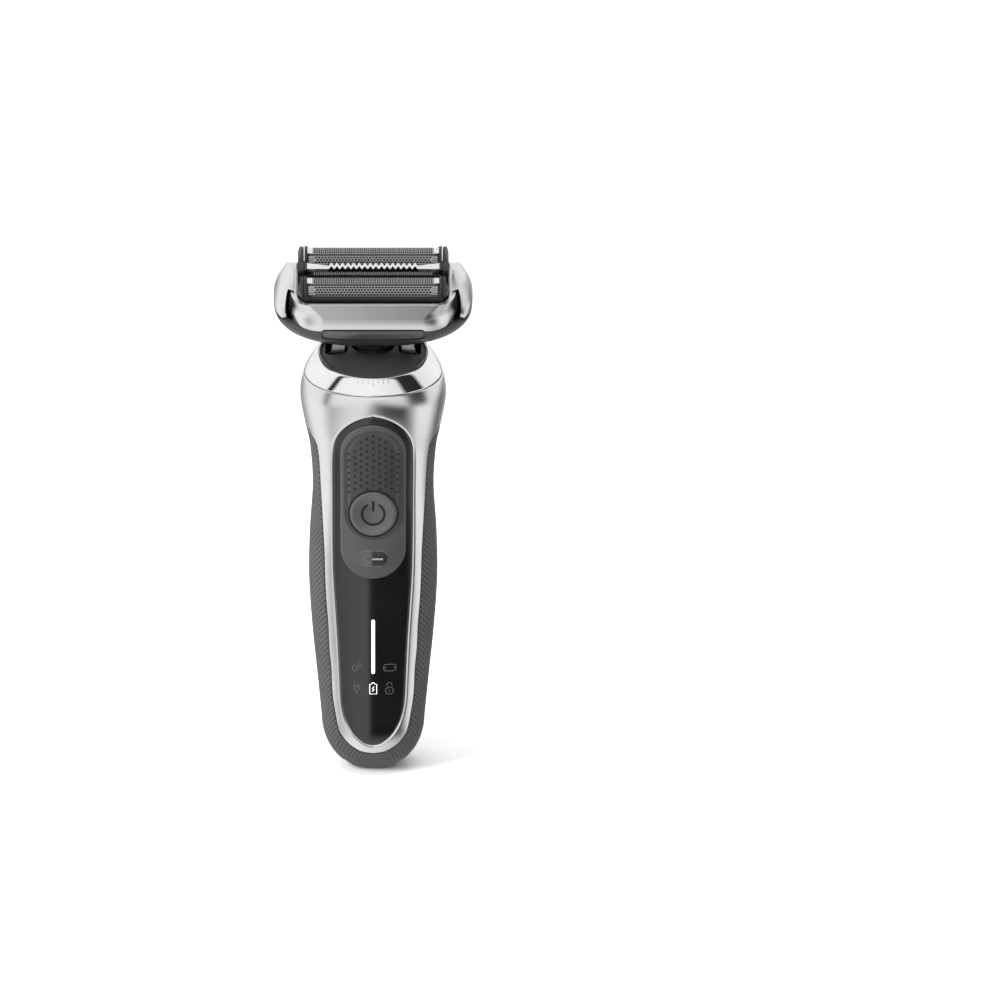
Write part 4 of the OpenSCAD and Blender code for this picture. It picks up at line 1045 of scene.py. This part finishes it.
# ---- trimmer
N_TIPS, TIP_HALF = 32, 13.2
tips = [[], []]
for i in range(N_TIPS + 1):
    x = -TIP_HALF + i * 2 * TIP_HALF / N_TIPS
    front, back = (-1.35, 0.12) if i % 2 == 0 else (-0.12, 1.35)
    for side, y in ((0, front), (1, back)):
        w = 0.12 if abs(y) > 1 else 0.05
        tips[side] += [(x - w, y), (x + w, y)]
COMB_X, COMB_Y = 19.6, 1.3
comb = ([(-COMB_X, -COMB_Y)] + tips[0] + [(COMB_X, -COMB_Y), (COMB_X, COMB_Y)] + tips[1][::-1]
        + [(-COMB_X, COMB_Y)])
plate = solid("trimmer_comb", leaned(prism_shape(comb, 16.5, 16.98)))
bevel(plate, 0.07, 2, 40)
dress(plate, "trimmer_unit", "bright_steel", "blade_steel", "trimmer_guard", 35)
skirts = []
for sgn in (-1, 1):
    depth = (sgn * 1.1, sgn * COMB_Y)
    skirts.append(box_shape((-COMB_X, COMB_X), depth, (12.7, 15.7)))
    skirts += [box_shape((x, x + 6.3), depth, (15.7, 16.6)) for x in (-COMB_X, 13.3)]
    for k in range(57):
        x = -17.6 + k * 0.62
        tooth = [(x, sgn * COMB_Y), (x + 0.36, sgn * COMB_Y), (x + 0.26, sgn * 2.05), (x + 0.1, sgn * 2.05)]
        skirts.append(prism_shape(tooth if sgn > 0 else tooth[::-1], 14.75, 15.1))
add_mesh("trimmer_skirts", leaned(pieces(skirts)), "trimmer_unit", "blade_steel", merge=0,
         smooth_shade=False)

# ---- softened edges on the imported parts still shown
for width, names in ((0.35, ["neck_yoke"]), (0.3, ["release_latch"]), (0.25, ["inlet_socket"]),
                     (0.22, ["front_foil_holder", "rear_foil_holder"]),
                     (0.2, ["trimmer_holder", "head_base", "collar_base"]),
                     (0.12, ["drive_lever", "drive_carriage", "roll_pins", "pitch_pins", "contact_pins"])):
    for name in names:
        bevel(nodes[name], width, 3, 35)

# ---- studio
tree, bsdf = new_material("floor")
noise = shader(tree, "TexNoise", "Fac", {"Scale": 3.0})
tone = color_ramp(tree, [(0, [0.8] * 3), (1, [0.84] * 3)], noise)
plug(tree, bsdf, {"Base Color": tone, "Roughness": 0.6})
mesh = bpy.data.meshes.new("floor")
mesh.from_pydata([(x, y, -0.0004) for x, y in ((-6, -6), (6, -6), (6, 6), (-6, 6))], [], [(0, 1, 2, 3)])
mesh.materials.append(M["floor"])
floor = bpy.data.objects.new("floor", mesh)
bpy.context.scene.collection.objects.link(floor)
floor.visible_glossy = False


def studio_world():
    """Soft surroundings for the gloss: tones round the horizon, blended into a bright upper half."""
    world = bpy.data.worlds.new("studio")
    bpy.context.scene.world = world
    world.use_nodes = True
    tree = world.node_tree
    split = shader(tree, "SeparateXYZ", "X", {"Vector": shader(tree, "TexCoord", "Generated", {})})
    x, y, z = split.node.outputs
    # 0.5 is straight in front, 0.25 the left side, 0.75 the right side
    turn = calc(tree, "ARCTAN2", x, calc(tree, "MULTIPLY", y, -1.0))
    way = calc(tree, "MULTIPLY_ADD", turn, 1 / (2 * math.pi), 0.5)

    def blend(below, above, start, end):
        rise = shader(tree, "MapRange", "Result", {"Value": z, "From Min": start, "From Max": end},
                      interpolation_type="SMOOTHSTEP")
        return shader(tree, "Mix", "Result", {"Factor": rise, "A": below, "B": above}, data_type="RGBA")

    ground, lower, upper = (color_ramp(tree, [(at, [tone] * 3) for at, tone in stops], way)
                            for stops in (GROUND, LOWER, UPPER))
    whole = blend(blend(ground, lower, -0.74, -0.5), upper, -0.2, 0.0)
    back = next(n for n in tree.nodes if n.type == "BACKGROUND")
    plug(tree, back, {"Color": whole, "Strength": 1.0})


GROUND = [(0.0, 0.8), (0.3, 0.9), (0.45, 1.0), (0.55, 0.75), (0.7, 0.5), (0.85, 0.7), (1.0, 0.8)]
LOWER = [(0.0, 0.75), (0.08, 0.3), (0.13, 0.6), (0.2, 1.0), (0.3, 1.0), (0.35, 0.45), (0.4, 0.7),
         (0.46, 0.9), (0.494, 0.95), (0.5, 0.02), (0.6, 0.015), (0.63, 0.4), (0.66, 1.0), (0.74, 0.95),
         (0.8, 0.4), (0.84, 0.1), (0.9, 0.3), (1.0, 0.75)]
UPPER = [(0.0, 0.9), (0.2, 1.0), (0.3, 0.95), (0.312, 0.03), (0.328, 0.03), (0.342, 0.95), (0.5, 1.0),
         (0.61, 0.85), (0.632, 0.03), (0.71, 0.02), (0.73, 0.85), (0.85, 1.0), (1.0, 0.9)]
studio_world()


def softbox(name, at, aim, size, power):
    lamp = bpy.data.lights.new(name, "AREA")
    lamp.shape = "RECTANGLE"
    lamp.size, lamp.size_y = size
    lamp.energy = power
    obj = bpy.data.objects.new(name, lamp)
    bpy.context.scene.collection.objects.link(obj)
    obj.location = at
    obj.rotation_euler = (Vector(aim) - Vector(at)).to_track_quat("-Z", "Y").to_euler()
    obj.visible_glossy = False


CENTRE = (0, 0, 0.085)
softbox("key", (-0.9, -0.5, 0.7), CENTRE, (0.4, 0.8), 22)
softbox("fill", (0.85, -0.5, 0.5), CENTRE, (0.4, 0.8), 0.8)
softbox("top", (0.0, 0.1, 1.1), CENTRE, (1.2, 0.9), 10)

camera = bpy.data.cameras.new("camera")
camera.lens = 264
camera.shift_x = 0.1268
camera.sensor_width = 36
camera.clip_start = 0.01
cam = bpy.data.objects.new("camera", camera)
bpy.context.scene.collection.objects.link(cam)
reach, up, aim = 2.2, math.radians(21), Vector(CENTRE)
cam.location = (0, -reach * math.cos(up), aim.z + reach * math.sin(up))
cam.rotation_euler = (aim - cam.location).to_track_quat("-Z", "Y").to_euler()
bpy.context.scene.camera = cam
bpy.context.scene.view_settings.view_transform = "Standard"
